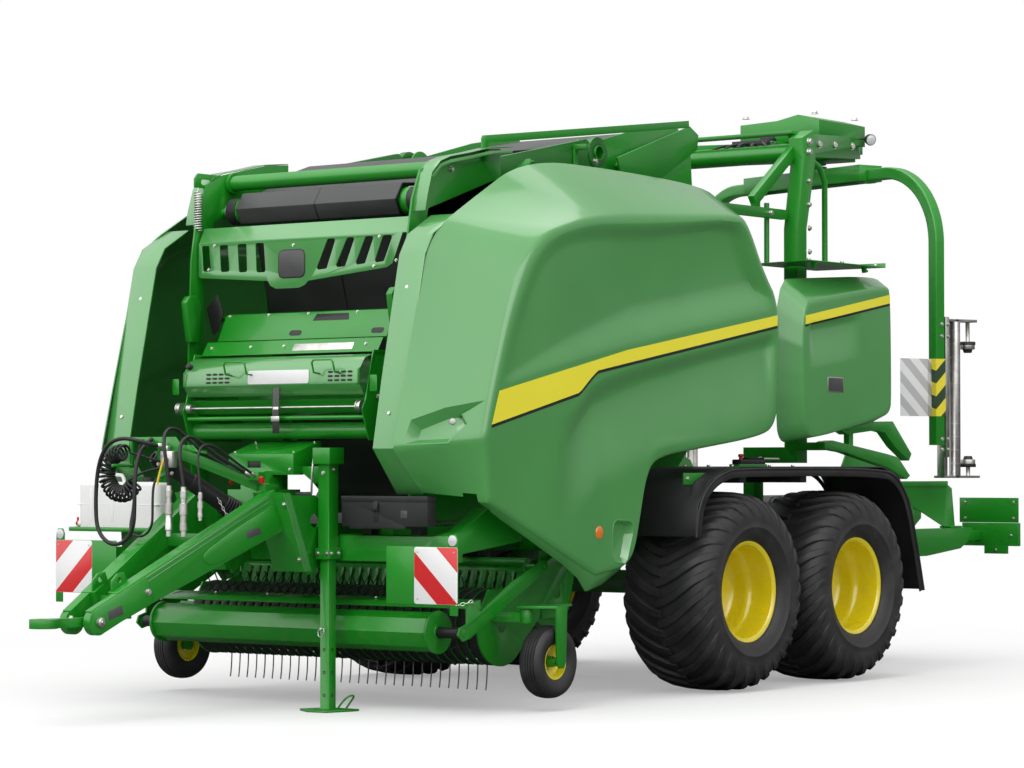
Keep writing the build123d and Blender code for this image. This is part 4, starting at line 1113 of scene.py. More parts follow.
def spaced(points: Sequence[Sequence[float]], count: int) -> list[tuple[float, ...]]:
    """A closed outline as a number of points evenly spaced along its first two values."""
    loop = list(points) + [points[0]]
    walk = [0.0]
    for a, b in zip(loop, loop[1:]):
        walk.append(walk[-1] + math.dist(a[:2], b[:2]))
    even = []
    step = 0
    for i in range(count):
        target = walk[-1] * i / count
        while walk[step + 1] < target:
            step += 1
        share = (target - walk[step]) / max(walk[step + 1] - walk[step], 1e-9)
        even.append(tuple(u + (v - u) * share for u, v in zip(loop[step], loop[step + 1])))
    return even


def between(x: float, table: Sequence[Point2]) -> float:
    """The value at x of a line through a table of (x, value) whose x falls."""
    if x >= table[0][0]:
        return table[0][1]
    for (x0, v0), (x1, v1) in zip(table, table[1:]):
        if x >= x1:
            return v0 + (v1 - v0) * (x - x0) / (x1 - x0)
    return table[-1][1]


def ease(value: float, low: float, high: float) -> float:
    """Rises smoothly from 0 to 1 between two values."""
    t = min(1.0, max(0.0, (value - low) / (high - low)))
    return t * t * (3 - 2 * t)


BROW_RINGS = 6


@dataclass
class Shell:
    """A moulded panel: an edge ring, a flank to a rounded brow, and a shaped face inside the brow.

    Attributes:
        outline: rows of face x, face z, edge x, edge z.
        face_y: where the face lies.
        edge_y: where the edge lies.
        heart: the point that the face's rings close on.
        dent: how far the face lies in at a point (x, z).
        brow: how wide the rounding between flank and face is.
    """

    outline: Sequence[tuple[float, float, float, float]]
    face_y: float
    edge_y: float
    heart: Point2
    dent: Callable[[float, float], float]
    brow: float = 0.045
    count: int = 360
    flank_rings: int = 10
    face_rings: int = 46
    cuts: int = 3
    wall: float = 0.006

    def surface(self, x: float, z: float) -> float:
        """Where the face lies at a point well inside the brow."""
        return self.face_y - self.dent(x, z)

    def rings(self) -> list[list[Vector]]:
        """All rings of the panel, from the edge to the heart."""
        loop = spaced(resampled(self.outline, self.cuts), self.count)
        hx, hz = self.heart
        levels = []
        for step in range(self.flank_rings):
            share = 0.93 * step / (self.flank_rings - 1)
            levels.append([self.edge_point(row).lerp(self.face_point(row), share) for row in loop])
        for step in range(1, BROW_RINGS + 1):
            levels.append([self.brow_point(row, step / BROW_RINGS) for row in loop])
        brow = levels[-1]
        for step in range(1, self.face_rings):
            share = (step / self.face_rings) ** 1.05
            ring = []
            for last in brow:
                x, z = last.x + (hx - last.x) * share, last.z + (hz - last.z) * share
                reach = math.dist((x, z), (last.x, last.z))
                ring.append(Vector((x, self.face_y - self.dent(x, z) * ease(reach, 0.0, 0.09), z)))
            levels.append(ring)
        return levels

    def face_point(self, row: Sequence[float]) -> Vector:
        """The corner between flank and face at a row of the outline."""
        return Vector((row[0], self.face_y, row[1]))

    def edge_point(self, row: Sequence[float]) -> Vector:
        """The flank's free edge at a row of the outline."""
        return Vector((row[2], self.edge_y, row[3]))

    def brow_point(self, row: Sequence[float], share: float) -> Vector:
        """A point of the rounding between the flank and the face."""
        corner = self.face_point(row)
        before = corner.lerp(self.edge_point(row), 0.07)
        inward = Vector((self.heart[0] - row[0], 0, self.heart[1] - row[1])).normalized()
        after = corner + inward * self.brow
        return before * (1 - share) ** 2 + corner * 2 * share * (1 - share) + after * share**2

    def build(self) -> Piece:
        """Makes the panel's thin skin with its faces outward."""
        levels = self.rings()
        points = [point for ring in levels for point in ring]
        points.append(Vector((self.heart[0], self.surface(*self.heart), self.heart[1])))
        last = len(points) - 1 - self.count
        faces = quads(len(levels), self.count)
        faces += [(last + i, last + (i + 1) % self.count, len(points) - 1) for i in range(self.count)]
        return self.outward(seal(built(points, faces)), -1)

    def outward(self, piece: Piece, index: int) -> Piece:
        """Turns all faces of a piece if this one looks inboard."""
        if piece.data.polygons[index].normal.y < 0:
            piece.data.flip_normals()
        return piece

    def thicken(self, piece: Piece) -> Piece:
        """Gives the panel its wall, inward, and shades it."""
        return smooth(modified(piece, "SOLIDIFY", thickness=self.wall, offset=-1), 32)

    def band(self, top: Sequence[Point2], low: Sequence[Point2], lift: float, steps: int = 90) -> Piece:
        """A thin strip laid on the face between two lines given as tables of (x, z) whose x falls."""
        end = min(top[-1][0], low[-1][0])
        across = 6
        points = []
        for i in range(steps + 1):
            x_top, x_low = (line[0][0] + (end - line[0][0]) * i / steps for line in (top, low))
            for k in range(across + 1):
                part = k / across
                x = x_top + (x_low - x_top) * part
                z = between(x_top, top) * (1 - part) + between(x_low, low) * part
                points.append((x, self.surface(x, z) + lift, z))
        skin = self.outward(built(points, quads(steps + 1, across + 1, closed=False)), 0)
        return smooth(modified(skin, "SOLIDIFY", thickness=0.0012, offset=0), 30)

    def edging(self, line: Sequence[Point2], width: float, steps: int = 90) -> Piece:
        """A narrow strip just under a line of the face."""
        top, low = ([(x, z - drop) for x, z in line] for drop in (0.002, 0.002 + width))
        return self.band(top, low, 0.0012, steps)


# columns: face x, face z, edge x, edge z
SHIELD_OUTLINE = [
    (2.1735, 1.478, 2.528, 1.428), (2.1745, 1.486, 2.530, 1.436), (2.1745, 1.500, 2.529, 1.446),
    (2.090, 1.800, 2.440, 1.800), (1.920, 2.250, 2.310, 2.300),
    (1.700, 2.590, 2.210, 2.600), (1.280, 2.715, 1.860, 2.800), (0.910, 2.750, 1.380, 3.060),
    (0.250, 2.790, 0.500, 3.060), (-0.280, 2.830, -0.450, 3.025), (-0.390, 2.780, -0.560, 2.930),
    (-0.560, 2.500, -0.750, 2.520), (-0.730, 2.320, -0.900, 2.330), (-0.720, 1.770, -0.880, 1.780),
    (-0.680, 1.590, -0.800, 1.600), (-0.540, 1.520, -0.700, 1.520), (0.120, 1.440, 0.120, 1.450),
    (0.570, 1.390, 0.590, 1.400), (0.680, 1.270, 0.700, 1.290), (0.750, 1.020, 0.780, 1.040),
    (0.795, 0.860, 0.830, 0.860), (0.840, 0.800, 0.870, 0.780), (0.910, 0.766, 0.940, 0.745),
    (1.100, 0.738, 1.130, 0.710), (1.158, 0.729, 1.200, 0.695), (1.180, 0.732, 1.230, 0.700),
    (1.260, 0.768, 1.320, 0.735), (1.840, 1.015, 1.850, 1.000), (2.126, 1.136, 2.268, 1.170),
    (2.140, 1.144, 2.280, 1.182), (2.143, 1.160, 2.286, 1.196), (2.171, 1.462, 2.520, 1.412),
]
# corners of the grip recess, at its mouth and before they are pressed in
GRIP_MOUTH = [
    (2.492, 1.112, 1.453), (2.441, 1.128, 1.583), (2.300, 1.251, 1.650), (2.141, 1.398, 1.691),
    (2.244, 1.316, 1.615), (2.231, 1.342, 1.564), (2.295, 1.296, 1.498), (2.317, 1.283, 1.463),
]
GRIP_FLOOR = [
    (2.424, 1.171, 1.485), (2.404, 1.177, 1.540), (2.297, 1.267, 1.596), (2.254, 1.308, 1.605),
    (2.243, 1.320, 1.601), (2.234, 1.340, 1.562), (2.292, 1.298, 1.503), (2.307, 1.285, 1.491),
]
# corners of the tall recess near the shield's lower rear edge
SLOT_MOUTH = [(0.972, 1.420, 1.036), (0.850, 1.420, 1.030), (0.818, 1.420, 1.012), (0.816, 1.420, 0.960),
              (0.872, 1.420, 0.812), (0.900, 1.420, 0.792), (0.990, 1.420, 0.806), (1.018, 1.420, 0.840),
              (1.010, 1.420, 0.980), (0.998, 1.420, 1.020)]
# the folded lip under the shield's lower edge: where it leaves the face, and its free edge, as (x, z)
LIP_ROOT = [(2.110, 1.132), (1.956, 1.068), (1.710, 0.964), (1.421, 0.842), (1.274, 0.780), (1.180, 0.738),
            (1.160, 0.736), (1.050, 0.750), (0.900, 0.778)]
LIP_EDGE = [(2.060, 1.096), (1.956, 1.046), (1.710, 0.936), (1.421, 0.802), (1.274, 0.718), (1.206, 0.645),
            (1.180, 0.646), (1.049, 0.676), (0.880, 0.752)]
# lines across the shield's face, as (x, z)
SHOULDER_TOP = [(1.98, 1.82), (1.71, 1.934), (1.325, 2.078), (0.751, 2.25), (0.146, 2.348), (-0.75, 2.49)]
SHOULDER_LOW = [(2.03, 1.775), (1.60, 1.872), (0.868, 2.02), (0.146, 2.145), (-0.75, 2.30)]
STRIPE_TOP = [(2.052, 1.742), (0.868, 1.995), (-0.69, 2.250)]
STRIPE_LOW = [(2.118, 1.560), (1.325, 1.746), (1.227, 1.823), (1.156, 1.872), (-0.69, 2.188)]
SCOOP_TOP = [(1.50, 1.60), (1.325, 1.69), (1.20, 1.80), (1.07, 1.842), (0.751, 1.912), (-0.72, 2.160)]
SCOOP_LOW = [(1.56, 1.30), (1.40, 1.48), (1.156, 1.683), (0.809, 1.79), (0.146, 1.925), (-0.72, 2.085)]


def shield_dent(x: float, z: float) -> float:
    """How far the side shield's face lies in from its widest at a point."""
    top, low = between(x, SHOULDER_TOP), between(x, SHOULDER_LOW)
    upper = 0.052 * ease(1.98 - x, 0.0, 1.5) + 0.008 * ease(2.1 - x, 0, 0.3)
    dent = upper * ease(z, low, top) * (1 - 0.45 * ease(z, top, top + 0.75))
    over, under = between(x, SCOOP_TOP), between(x, SCOOP_LOW)
    depth = 0.042 * ease(1.55 - x, 0.0, 0.35)
    scooped = 1 - ease(z, under, over)
    dent += depth * scooped * (1 - ease(under - z, -0.02, 0.48))
    return dent


@dataclass
class SideShields:
    """The two large side shields with their stripes, pockets, latches and reflectors."""

    face_y: float = 1.420
    edge_y: float = 1.080

    def build(self) -> None:
        """Models the left shield and copies it to the other side."""
        shell = Shell(SHIELD_OUTLINE, self.face_y, self.edge_y, (0.70, 1.95), shield_dent)
        panel = shell.build()
        grip_hole, grip = self.recess(GRIP_MOUTH, GRIP_FLOOR, (0.693, 0.697, 0.184), 0.045)
        slot_floor = [(0.91 + (x - 0.91) * 0.72, y, 0.92 + (z - 0.92) * 0.86) for x, y, z in SLOT_MOUTH]
        slot_hole, slot = self.recess(SLOT_MOUTH, slot_floor, LEFT, 0.045)
        panel = cut(shell.thicken(self.cut_underside(panel)), grip_hole, slot_hole)
        panel = smooth(join([panel, grip, slot, self.lip(), self.front_strip()]), 28)
        body = "side_shield_{}"
        settle_pair(panel, body + "_panel", PANEL_GREEN_PAINTED_SHEEN, body, body)
        settle_pair(shell.band(STRIPE_TOP, STRIPE_LOW, 0.0015), body + "_stripe", STRIPE_YELLOW, body)
        settle_pair(shell.edging(STRIPE_LOW, 0.015), body + "_stripe_edge", BLACK_PRINT_AND_SHADE, body)
        settle_pair(self.reflector(), body + "_reflector", AMBER, body)
        settle_pair(self.latch(), body + "_latch", ZINC, body)

    def recess(self, mouth: Sequence[Point3], floor: Sequence[Point3], way: Point3, depth: float
               ) -> tuple[Piece, Piece]:
        """A pressed recess: the shape to cut out of the panel, and the tray behind the opening.

        Args:
            mouth: the opening's corners on the panel.
            floor: the same corners of the recess's floor before it is pressed in.
            way: the panel's outward direction there.
            depth: how deep the recess is.
        """
        normal = Vector(way).normalized()
        corners = [Vector(point) for point in mouth]
        heart = sum(corners, Vector()) / len(corners)
        count = len(corners)
        block = [point + normal * side for side in (0.05, -0.05) for point in corners]
        ends = [tuple(range(count)), tuple(range(2 * count - 1, count - 1, -1))]
        tool = seal(built(block, quads(2, count) + ends))
        # the rim lies on the panel, just outside the opening
        rings = [point + normal * 0.0012 + (point - heart).normalized() * past
                 for past in (0.006, -0.001) for point in corners]
        rings += [Vector(point) - normal * depth for point in floor]
        tray = seal(built(rings, quads(3, count) + [tuple(range(2 * count, 3 * count))]))
        return tool, rounded(modified(tray, "SOLIDIFY", thickness=0.003), 0.004, 2, 20)

    def lip(self) -> Piece:
        """The folded lip along the lower edge."""
        points = [(x, 1.404, z) for x, z in LIP_ROOT] + [(x, 1.364, z) for x, z in LIP_EDGE]
        sheet = built(points, quads(2, len(LIP_ROOT), closed=False))
        return rounded(modified(sheet, "SOLIDIFY", thickness=0.005, offset=0), 0.0015)

    def cut_underside(self, panel: Piece) -> Piece:
        """Opens the flank below, inboard of the face, as the drives need."""
        # the opening's upper edge, as (minus x, z)
        edge = [(0.9, 1.545), (-0.62, 1.43), (-1.50, 1.18), (-2.06, 1.13), (-2.11, 1.20), (-2.36, 1.215)]

        def is_open(face: bmesh.types.BMFace) -> bool:
            """Whether a face lies in the opening."""
            middle = face.calc_center_median()
            return middle.y < self.face_y - 0.055 and middle.z < between(-middle.x, edge) - 0.02

        return without_faces(panel, is_open)

    def front_strip(self) -> Piece:
        """The folded strip inboard of the shield's front edge."""
        path = [(2.290, 1.190), (2.492, 1.432), (2.420, 1.800), (2.270, 2.480), (2.200, 2.595),
                (2.000, 2.710)]
        inner = [(x - 0.010, z - 0.004) for x, z in reversed(path)]
        return plate([*path, *inner], Plane.SIDE, 0.905, self.edge_y + 0.004, 0.003)

    def reflector(self) -> Piece:
        """A round reflector in its rim."""
        profile = [(-0.002, 0), (-0.002, 0.034), (0.001, 0.036), (0.004, 0.033), (0.0055, 0.028), (0.0062, 0)]
        return turned(profile, (1.142, self.face_y - 0.0005, 0.969), LEFT, 32)

    def latch(self) -> Piece:
        """The latch knob in the grip recess and the screws along the shield's lower edge."""
        way = Vector((0.340, 0.355, 0)).normalized()
        knob = turned([(-0.03, 0), (-0.03, 0.010), (0.0, 0.010), (0.002, 0.016), (0.008, 0.016), (0.010, 0)],
                      Vector((2.281, 1.289, 1.577)) - way * 0.045, way, 20)
        spots = [((2.452, 0.99, 1.62), (1, 0, 0.2)), ((2.300, 0.99, 2.30), (1, 0, 0.2))]
        heads = copies(screw_head(0.022), [toward(point, side) for point, side in spots])
        return join([knob, heads])


@dataclass
class RearPanels:
    """The two rear panels with their stripe, crease and blank plate."""

    face_y: float = 1.405
    edge_y: float = 1.270

    def dent(self, x: float, z: float) -> float:
        """The long hollow under the stripe and the fall of the top."""
        line = 2.235 + (-1.10 - x) * 0.13
        fade = ease(-x, 1.05, 1.15) * (1 - ease(-x, 1.45, 1.72))
        hollow = ease(z, line - 0.30, line - 0.055) * (1 - ease(z, line - 0.05, line - 0.005))
        top = 2.30 + (-1.0 - x) * 0.165
        return 0.030 * hollow * fade + 0.030 * ease(z, top + 0.055, top + 0.16)

    def build(self) -> None:
        """Models the left panel and copies it to the other side."""
        # columns: face x, face z, edge x, edge z
        outline = [
            (-0.995, 2.330, -0.900, 2.480), (-1.20, 2.372, -1.20, 2.505), (-2.010, 2.490, -2.10, 2.560),
            (-2.050, 2.440, -2.135, 2.500), (-2.060, 1.760, -2.150, 1.740), (-2.040, 1.690, -2.130, 1.650),
            (-1.960, 1.655, -2.010, 1.610), (-1.150, 1.510, -1.020, 1.480), (-1.060, 1.540, -0.940, 1.500),
            (-1.020, 1.640, -0.905, 1.600),
        ]
        shell = Shell(outline, self.face_y, self.edge_y, (-1.53, 2.02), self.dent, 0.03, 220, 8, 30, 2)
        top = [(-1.03, 2.262), (-2.035, 2.432)]
        low = [(x, z - 0.054) for x, z in top]
        body = "rear_panel_{}"
        settle_pair(shell.thicken(shell.build()), body + "_panel", PANEL_GREEN_PAINTED_SHEEN, body, body)
        settle_pair(shell.band(top, low, 0.0015, 30), body + "_stripe", STRIPE_YELLOW, body)
        settle_pair(shell.edging(low, 0.013, 30), body + "_stripe_edge", BLACK_PRINT_AND_SHADE, body)
        sign = (-1.380, self.face_y - 0.0006, 1.845)
        settle_pair(sheet_plate(0.184, 0.096, 0.0018, sign, LEFT, 0.008), body + "_plate_frame", ZINC, body)
        settle_pair(sheet_plate(0.172, 0.084, 0.0026, sign, LEFT, 0.006), body + "_blank_plate", BADGE_GREY,
                    body)


# ---------------------------------------------------------------- wheels


@dataclass
class RoadWheel:
    """A flotation tyre with curved bars on a deep dished rim."""

    x: float
    y: float
    label: str
    radius: float = 0.595
    bars: int = 30

    @property
    def out(self) -> float:
        """1 on the machine's left, -1 on its right."""
        return math.copysign(1.0, self.y)

    @property
    def hub(self) -> Point3:
        """The middle of the wheel."""
        return (self.x, self.y, self.radius)

    def carcass(self) -> Piece:
        """The tyre's smooth body, with ribs at the bead and mould rings on the sidewall."""
        half = [
            (0.0, 0.573), (0.10, 0.570), (0.18, 0.562), (0.235, 0.549), (0.268, 0.530), (0.289, 0.500),
            (0.301, 0.462), (0.3045, 0.425), (0.302, 0.395), (0.3045, 0.390), (0.3045, 0.382), (0.301, 0.378),
            (0.292, 0.350), (0.276, 0.322), (0.260, 0.306), (0.252, 0.305), (0.248, 0.296), (0.236, 0.288),
        ]
        profile = ([(-a, r) for a, r in reversed(half[1:])] + half
                   + [(0.225, 0.287), (-0.225, 0.287), (-0.236, 0.288)])
        return turned(profile, self.hub, (0, 1, 0), 120)

    def bar_path(self, side: float, turn: float) -> list[tuple[Vector, Vector, Vector, float]]:
        """Points along one bar: place, way out, way round and half width."""
        # columns: distance from the middle, radius of the bar's foot, height, half width
        stations = [
            (-0.012, 0.572, 0.021, 0.0220), (0.05, 0.570, 0.0225, 0.0235), (0.12, 0.566, 0.0240, 0.0250),
            (0.19, 0.558, 0.0240, 0.0260), (0.240, 0.544, 0.0210, 0.0260), (0.270, 0.520, 0.0165, 0.0250),
            (0.287, 0.490, 0.0115, 0.0215), (0.2965, 0.455, 0.0070, 0.0165), (0.300, 0.420, 0.0030, 0.0090),
        ]
        path = []
        for across, foot, height, half in stations:
            sweep = 0.36 * max(0.0, across / 0.30) ** 1.5 + 0.5 * max(0.0, 0.545 - foot)
            angle = turn + sweep
            radial = Vector((math.cos(angle), 0, math.sin(angle)))
            flat = Vector((0, side, 0))
            lean = ease(0.56 - foot, 0.0, 0.075)
            out = (radial * (1 - lean) + flat * lean).normalized()
            place = Vector(self.hub) + radial * foot + flat * across
            path.append((place, out * height, Vector((-math.sin(angle), 0, math.cos(angle))), half))
        return path

    def tread(self) -> Piece:
        """All bars of the tread, each a tapered ridge that runs down the shoulder."""
        shape = bmesh.new()
        for side in (-1.0, 1.0):
            for index in range(self.bars):
                turn = math.tau * (index + (0.5 if side > 0 else 0.0)) / self.bars
                rings = []
                for place, height, around, half in self.bar_path(side, turn):
                    low = place - height * 0.35
                    rings.append([
                        shape.verts.new(low - around * (half + 0.006)),
                        shape.verts.new(place + height * 0.86 - around * half),
                        shape.verts.new(place + height - around * (half - 0.003)),
                        shape.verts.new(place + height + around * (half - 0.003)),
                        shape.verts.new(place + height * 0.86 + around * half),
                        shape.verts.new(low + around * (half + 0.006)),
                    ])
                for near, far in zip(rings, rings[1:]):
                    for k in range(5):
                        shape.faces.new((near[k], near[k + 1], far[k + 1], far[k]))
                shape.faces.new(rings[0])
                shape.faces.new(list(reversed(rings[-1])))
        mesh = bpy.data.meshes.new("tread")
        bmesh.ops.recalc_face_normals(shape, faces=shape.faces)
        shape.to_mesh(mesh)
        shape.free()
        return smooth(adopt(mesh), 34)

    def rim(self) -> Piece:
        """The rim: flanges, stepped barrel and the disc deep inside."""
        profile = [(-0.246, 0.300), (-0.250, 0.305), (-0.246, 0.308), (-0.238, 0.302), (-0.236, 0.285),
                   (-0.120, 0.284), (-0.090, 0.262), (0.060, 0.262), (0.090, 0.284), (0.234, 0.285),
                   (0.238, 0.303), (0.2445, 0.309), (0.2505, 0.306), (0.2500, 0.298), (0.243, 0.284),
                   (0.236, 0.277), (0.150, 0.274), (0.105, 0.272), (0.090, 0.262), (0.076, 0.252),
                   (0.052, 0.248), (0.012, 0.246), (-0.012, 0.242), (-0.028, 0.226), (-0.036, 0.196),
                   (-0.044, 0.160), (-0.050, 0.120), (-0.046, 0.100), (-0.024, 0.094), (-0.020, 0.088),
                   (-0.020, 0.058), (-0.170, 0.058), (-0.170, 0.080), (-0.066, 0.100), (-0.052, 0.240),
                   (-0.094, 0.252), (-0.124, 0.274), (-0.246, 0.300)]
        return turned(profile, self.hub, (0, self.out, 0), 96)

    def at(self, along: float, radius: float, degrees: float) -> Vector:
        """A point of the wheel: along its axle, out from it and round it."""
        angle = math.radians(degrees)
        return Vector(self.hub) + Vector((radius * math.cos(angle), self.out * along,
                                          radius * math.sin(angle)))

    def build(self) -> None:
        """Models the wheel and dresses it."""
        body = f"wheel_{self.label}"
        axle = (0, self.out, 0)
        settle(join([self.carcass(), self.tread()]), body + "_tyre", TYRE_RUBBER, body,
               "tyre_" + self.label)
        settle(self.rim(), body + "_rim", WHEEL_YELLOW, body, "rim_" + self.label)
        cap = turned([(-0.02, 0.0), (-0.02, 0.060), (0.012, 0.060), (0.016, 0.056), (0.016, 0.040),
                      (0.034, 0.038), (0.0385, 0.032), (0.0395, 0.0)], self.hub, axle, 40)
        settle(cap, body + "_cap", FRAME_GREEN, body)
        nuts = [(self.at(-0.0215, 0.077, 36 * i + 10), axle) for i in range(10)]
        screws(body + "_nuts", 0.026, nuts, body, STEEL)
        valve = rail([self.at(-0.005, 0.232, 84), self.at(0.020, 0.224, 84), self.at(0.052, 0.219, 84)],
                     0.0062)
        nut = turned([(0, 0), (0, 0.013), (0.012, 0.012), (0.016, 0.0)], self.at(-0.006, 0.233, 84), axle, 12)
        group(body + "_valve", BLACK_PLASTIC, valve, nut, body=body)


@dataclass
class GaugeWheel:
    """A small ribbed wheel beside the pickup."""

    y: float
    label: str
    x: float = 1.550
    z: float = 0.270
    radius: float = 0.200

    def build(self) -> None:
        """Models tyre, rim and hub."""
        body = f"gauge_wheel_{self.label}"
        out = math.copysign(1.0, self.y)
        centre, axis = (self.x, self.y, self.z), (0, out, 0)
        ribs = []
        for groove in range(-2, 3):
            middle = 0.0165 * groove
            top = self.radius - 0.004 * (groove / 2) ** 2
            ribs += [(middle - 0.0062, top), (middle + 0.0062, top), (middle + 0.0074, top - 0.008)]
            ribs += [(middle + 0.0090, top - 0.008)] if groove < 2 else []
        wall = [(0.046, 0.092), (0.060, 0.110), (0.069, 0.135), (0.0715, 0.155), (0.068, 0.172),
                (0.056, 0.188), (0.044, 0.1925)]
        profile = [*((-a, r) for a, r in wall), *ribs, *reversed(wall), (-0.046, 0.092)]
        settle(turned(profile, centre, axis, 72), body + "_tyre", TYRE_RUBBER, body, body)
        rim = turned([(-0.047, 0.091), (-0.050, 0.099), (-0.043, 0.096), (0.043, 0.096), (0.050, 0.099),
                      (0.0495, 0.090), (0.030, 0.086), (0.010, 0.080), (0.004, 0.050), (0.004, 0.032),
                      (-0.020, 0.032), (-0.020, 0.084), (-0.047, 0.091)], centre, axis, 48)
        settle(rim, body + "_rim", WHEEL_YELLOW, body)
        hub = turned([(-0.064, 0.0125), (-0.064, 0.028), (0.030, 0.030), (0.046, 0.026), (0.062, 0.022),
                      (0.062, 0.0125), (-0.064, 0.0125)], centre, axis, 32)
        settle(hub, body + "_hub", FRAME_GREEN, body)
        nuts = [((self.x + 0.042 * math.cos(a), self.y + out * 0.004, self.z + 0.042 * math.sin(a)), axis)
                for a in (math.tau * i / 5 for i in range(5))]
        screws(body + "_nuts", 0.013, nuts, body)


# ---------------------------------------------------------------- fittings at the front of the chamber


@dataclass
class BeltFront:
    """What surrounds the front belt roller and the grille."""

    spring_x: float = 2.030
    spring_y: float = -0.801
    roller: Point2 = (1.815, 2.818)
    flap_way: Point3 = (0.898, 0, 0.440)

    def build(self) -> None:
        """Models the side flanges, the spring, the roller's ends, the lid's arms, the grille and the flap."""
        fold = [(2.034, 2.735), (2.018, 2.820), (1.975, 2.950), (1.900, 3.020), (1.810, 3.052),
                (1.640, 3.085), (1.450, 3.128), (1.250, 3.148)]
        flange = folded(fold, 0.005, 0.797, 0.895, 0.002)
        lip = folded([(x, z - 0.02) for x, z in fold[2:]], 0.020, 0.889, 0.895, 0.001)
        group("chamber_flanges", PANEL_GREEN_PAINTED_SHEEN, both(join([flange, lip])))
        self.belt_spring()
        self.roller_ends()
        flap = plate([(-0.79, 2.25), (-0.70, 2.33), (-0.655, 2.215), (-0.70, 2.12), (-0.735, 2.10)],
                     Plane.FRONT, 1.966, 1.972, 0.0015)
        group("side_flaps", BLACK_PRINT_AND_SHADE, both(flap))
        arm = plate([(2.19, 2.28), (2.16, 2.315), (2.10, 2.32), (2.06, 2.27), (2.08, 2.05), (2.15, 2.05)],
                    Plane.SIDE, -0.788, -0.742, 0.008)
        group("lid_arms", FRAME_GREEN, both(arm))
        self.grille()
        self.net_flap()

    def belt_spring(self) -> None:
        """The slotted ear beside the roller and the spring that hangs from it."""
        ear = plate([(1.80, 2.95), (2.057, 2.95), (2.057, 3.004), (2.030, 3.034), (1.80, 3.034)], Plane.SIDE,
                    -0.812, -0.800, 0.002)
        hole = plate([(x + 1.947, z + 2.985) for x, z in rounded_slot(0.12, 0.034)], Plane.SIDE, -0.83, -0.78,
                     0)
        ring = turned([(-0.012, 0.047), (-0.012, 0.060), (0.012, 0.060), (0.012, 0.047), (-0.012, 0.047)],
                      (1.75, -0.780, 2.992), LEFT, 36)
        group("spring_ear", FRAME_GREEN, cut(ear, hole), ring)
        x, y = self.spring_x, self.spring_y
        coil = spring((x, y, 2.700), (x, y, 2.925), 0.024, 0.0042, 16)
        upper = rail([(x, y, 2.950), (x, y, 2.922)], 0.005)
        lower = rail([(x, y, 2.702), (x, y, 2.640), (x - 0.010, y, 2.620)], 0.005)
        group("belt_spring", ZINC, coil, upper, lower)

    def roller_ends(self) -> None:
        """The roller's end drums and their collars."""
        x, z = self.roller
        drum = turned([(0, 0), (0, 0.072), (0.004, 0.078), (0.070, 0.078), (0.078, 0.070), (0.080, 0.03),
                       (0.080, 0)], (x, -0.642, z), (0, -1, 0), 48)
        group("roller_drums", BLACK_PLASTIC, both(drum))
        collar = turned([(0, 0), (0, 0.046), (0.004, 0.050), (0.022, 0.050), (0.024, 0.046), (0.024, 0)],
                        (x, -0.724, z), (0, -1, 0), 36)
        group("roller_collars", ZINC, both(collar))

    def grille(self) -> None:
        """The grille's blank badge, its rim and the screws."""
        group("badge_plate", BADGE_GREY,
              sheet_plate(0.190, 0.150, 0.0030, (2.0462, -0.065, 2.4805), AHEAD, 0.030))
        group("badge_rim", BLACK_PLASTIC,
              sheet_plate(0.204, 0.164, 0.0014, (2.0455, -0.065, 2.4805), AHEAD, 0.034))
        spots = [(-0.655, 2.606), (-0.052, 2.585), (0.580, 2.606), (0.540, 2.444), (-0.700, 2.470),
                 (0.700, 2.470)]
        screws("grille_screws", 0.015, [((2.0470, y, z), (1, 0, 0.05)) for y, z in spots])

    def net_flap(self) -> None:
        """Black patches of painted shade where the sloping flap under the grille has its slots and notch, and
        its rivets.
        """
        skin = {"plane": Plane.FLOOR, "low": 0.0, "high": 0.0012, "edge": 0.0004}
        x = 1.9702 + 0.075 * (2.208 - 2.090) / 0.153
        # the slots and the notch are thin black plates laid on the flap: painted shade, not openings
        holes = [posed(plate(rounded_slot(0.092, 0.034), **skin), toward((x, y, 2.090), self.flap_way))
                 for y in (-0.052, 0.552)]
        notch = plate([(-0.134, -0.012), (0.134, -0.012), (0.118, 0.030), (-0.118, 0.030)], **skin)
        holes.append(posed(notch, toward((1.990, 0.182, 2.168), self.flap_way)))
        group("flap_openings", BLACK_PRINT_AND_SHADE, *holes)
        screws("flap_screws", 0.013, [((1.974, y, 2.200), self.flap_way)
                                      for y in (-0.60, -0.30, 0.0, 0.36, 0.62)])


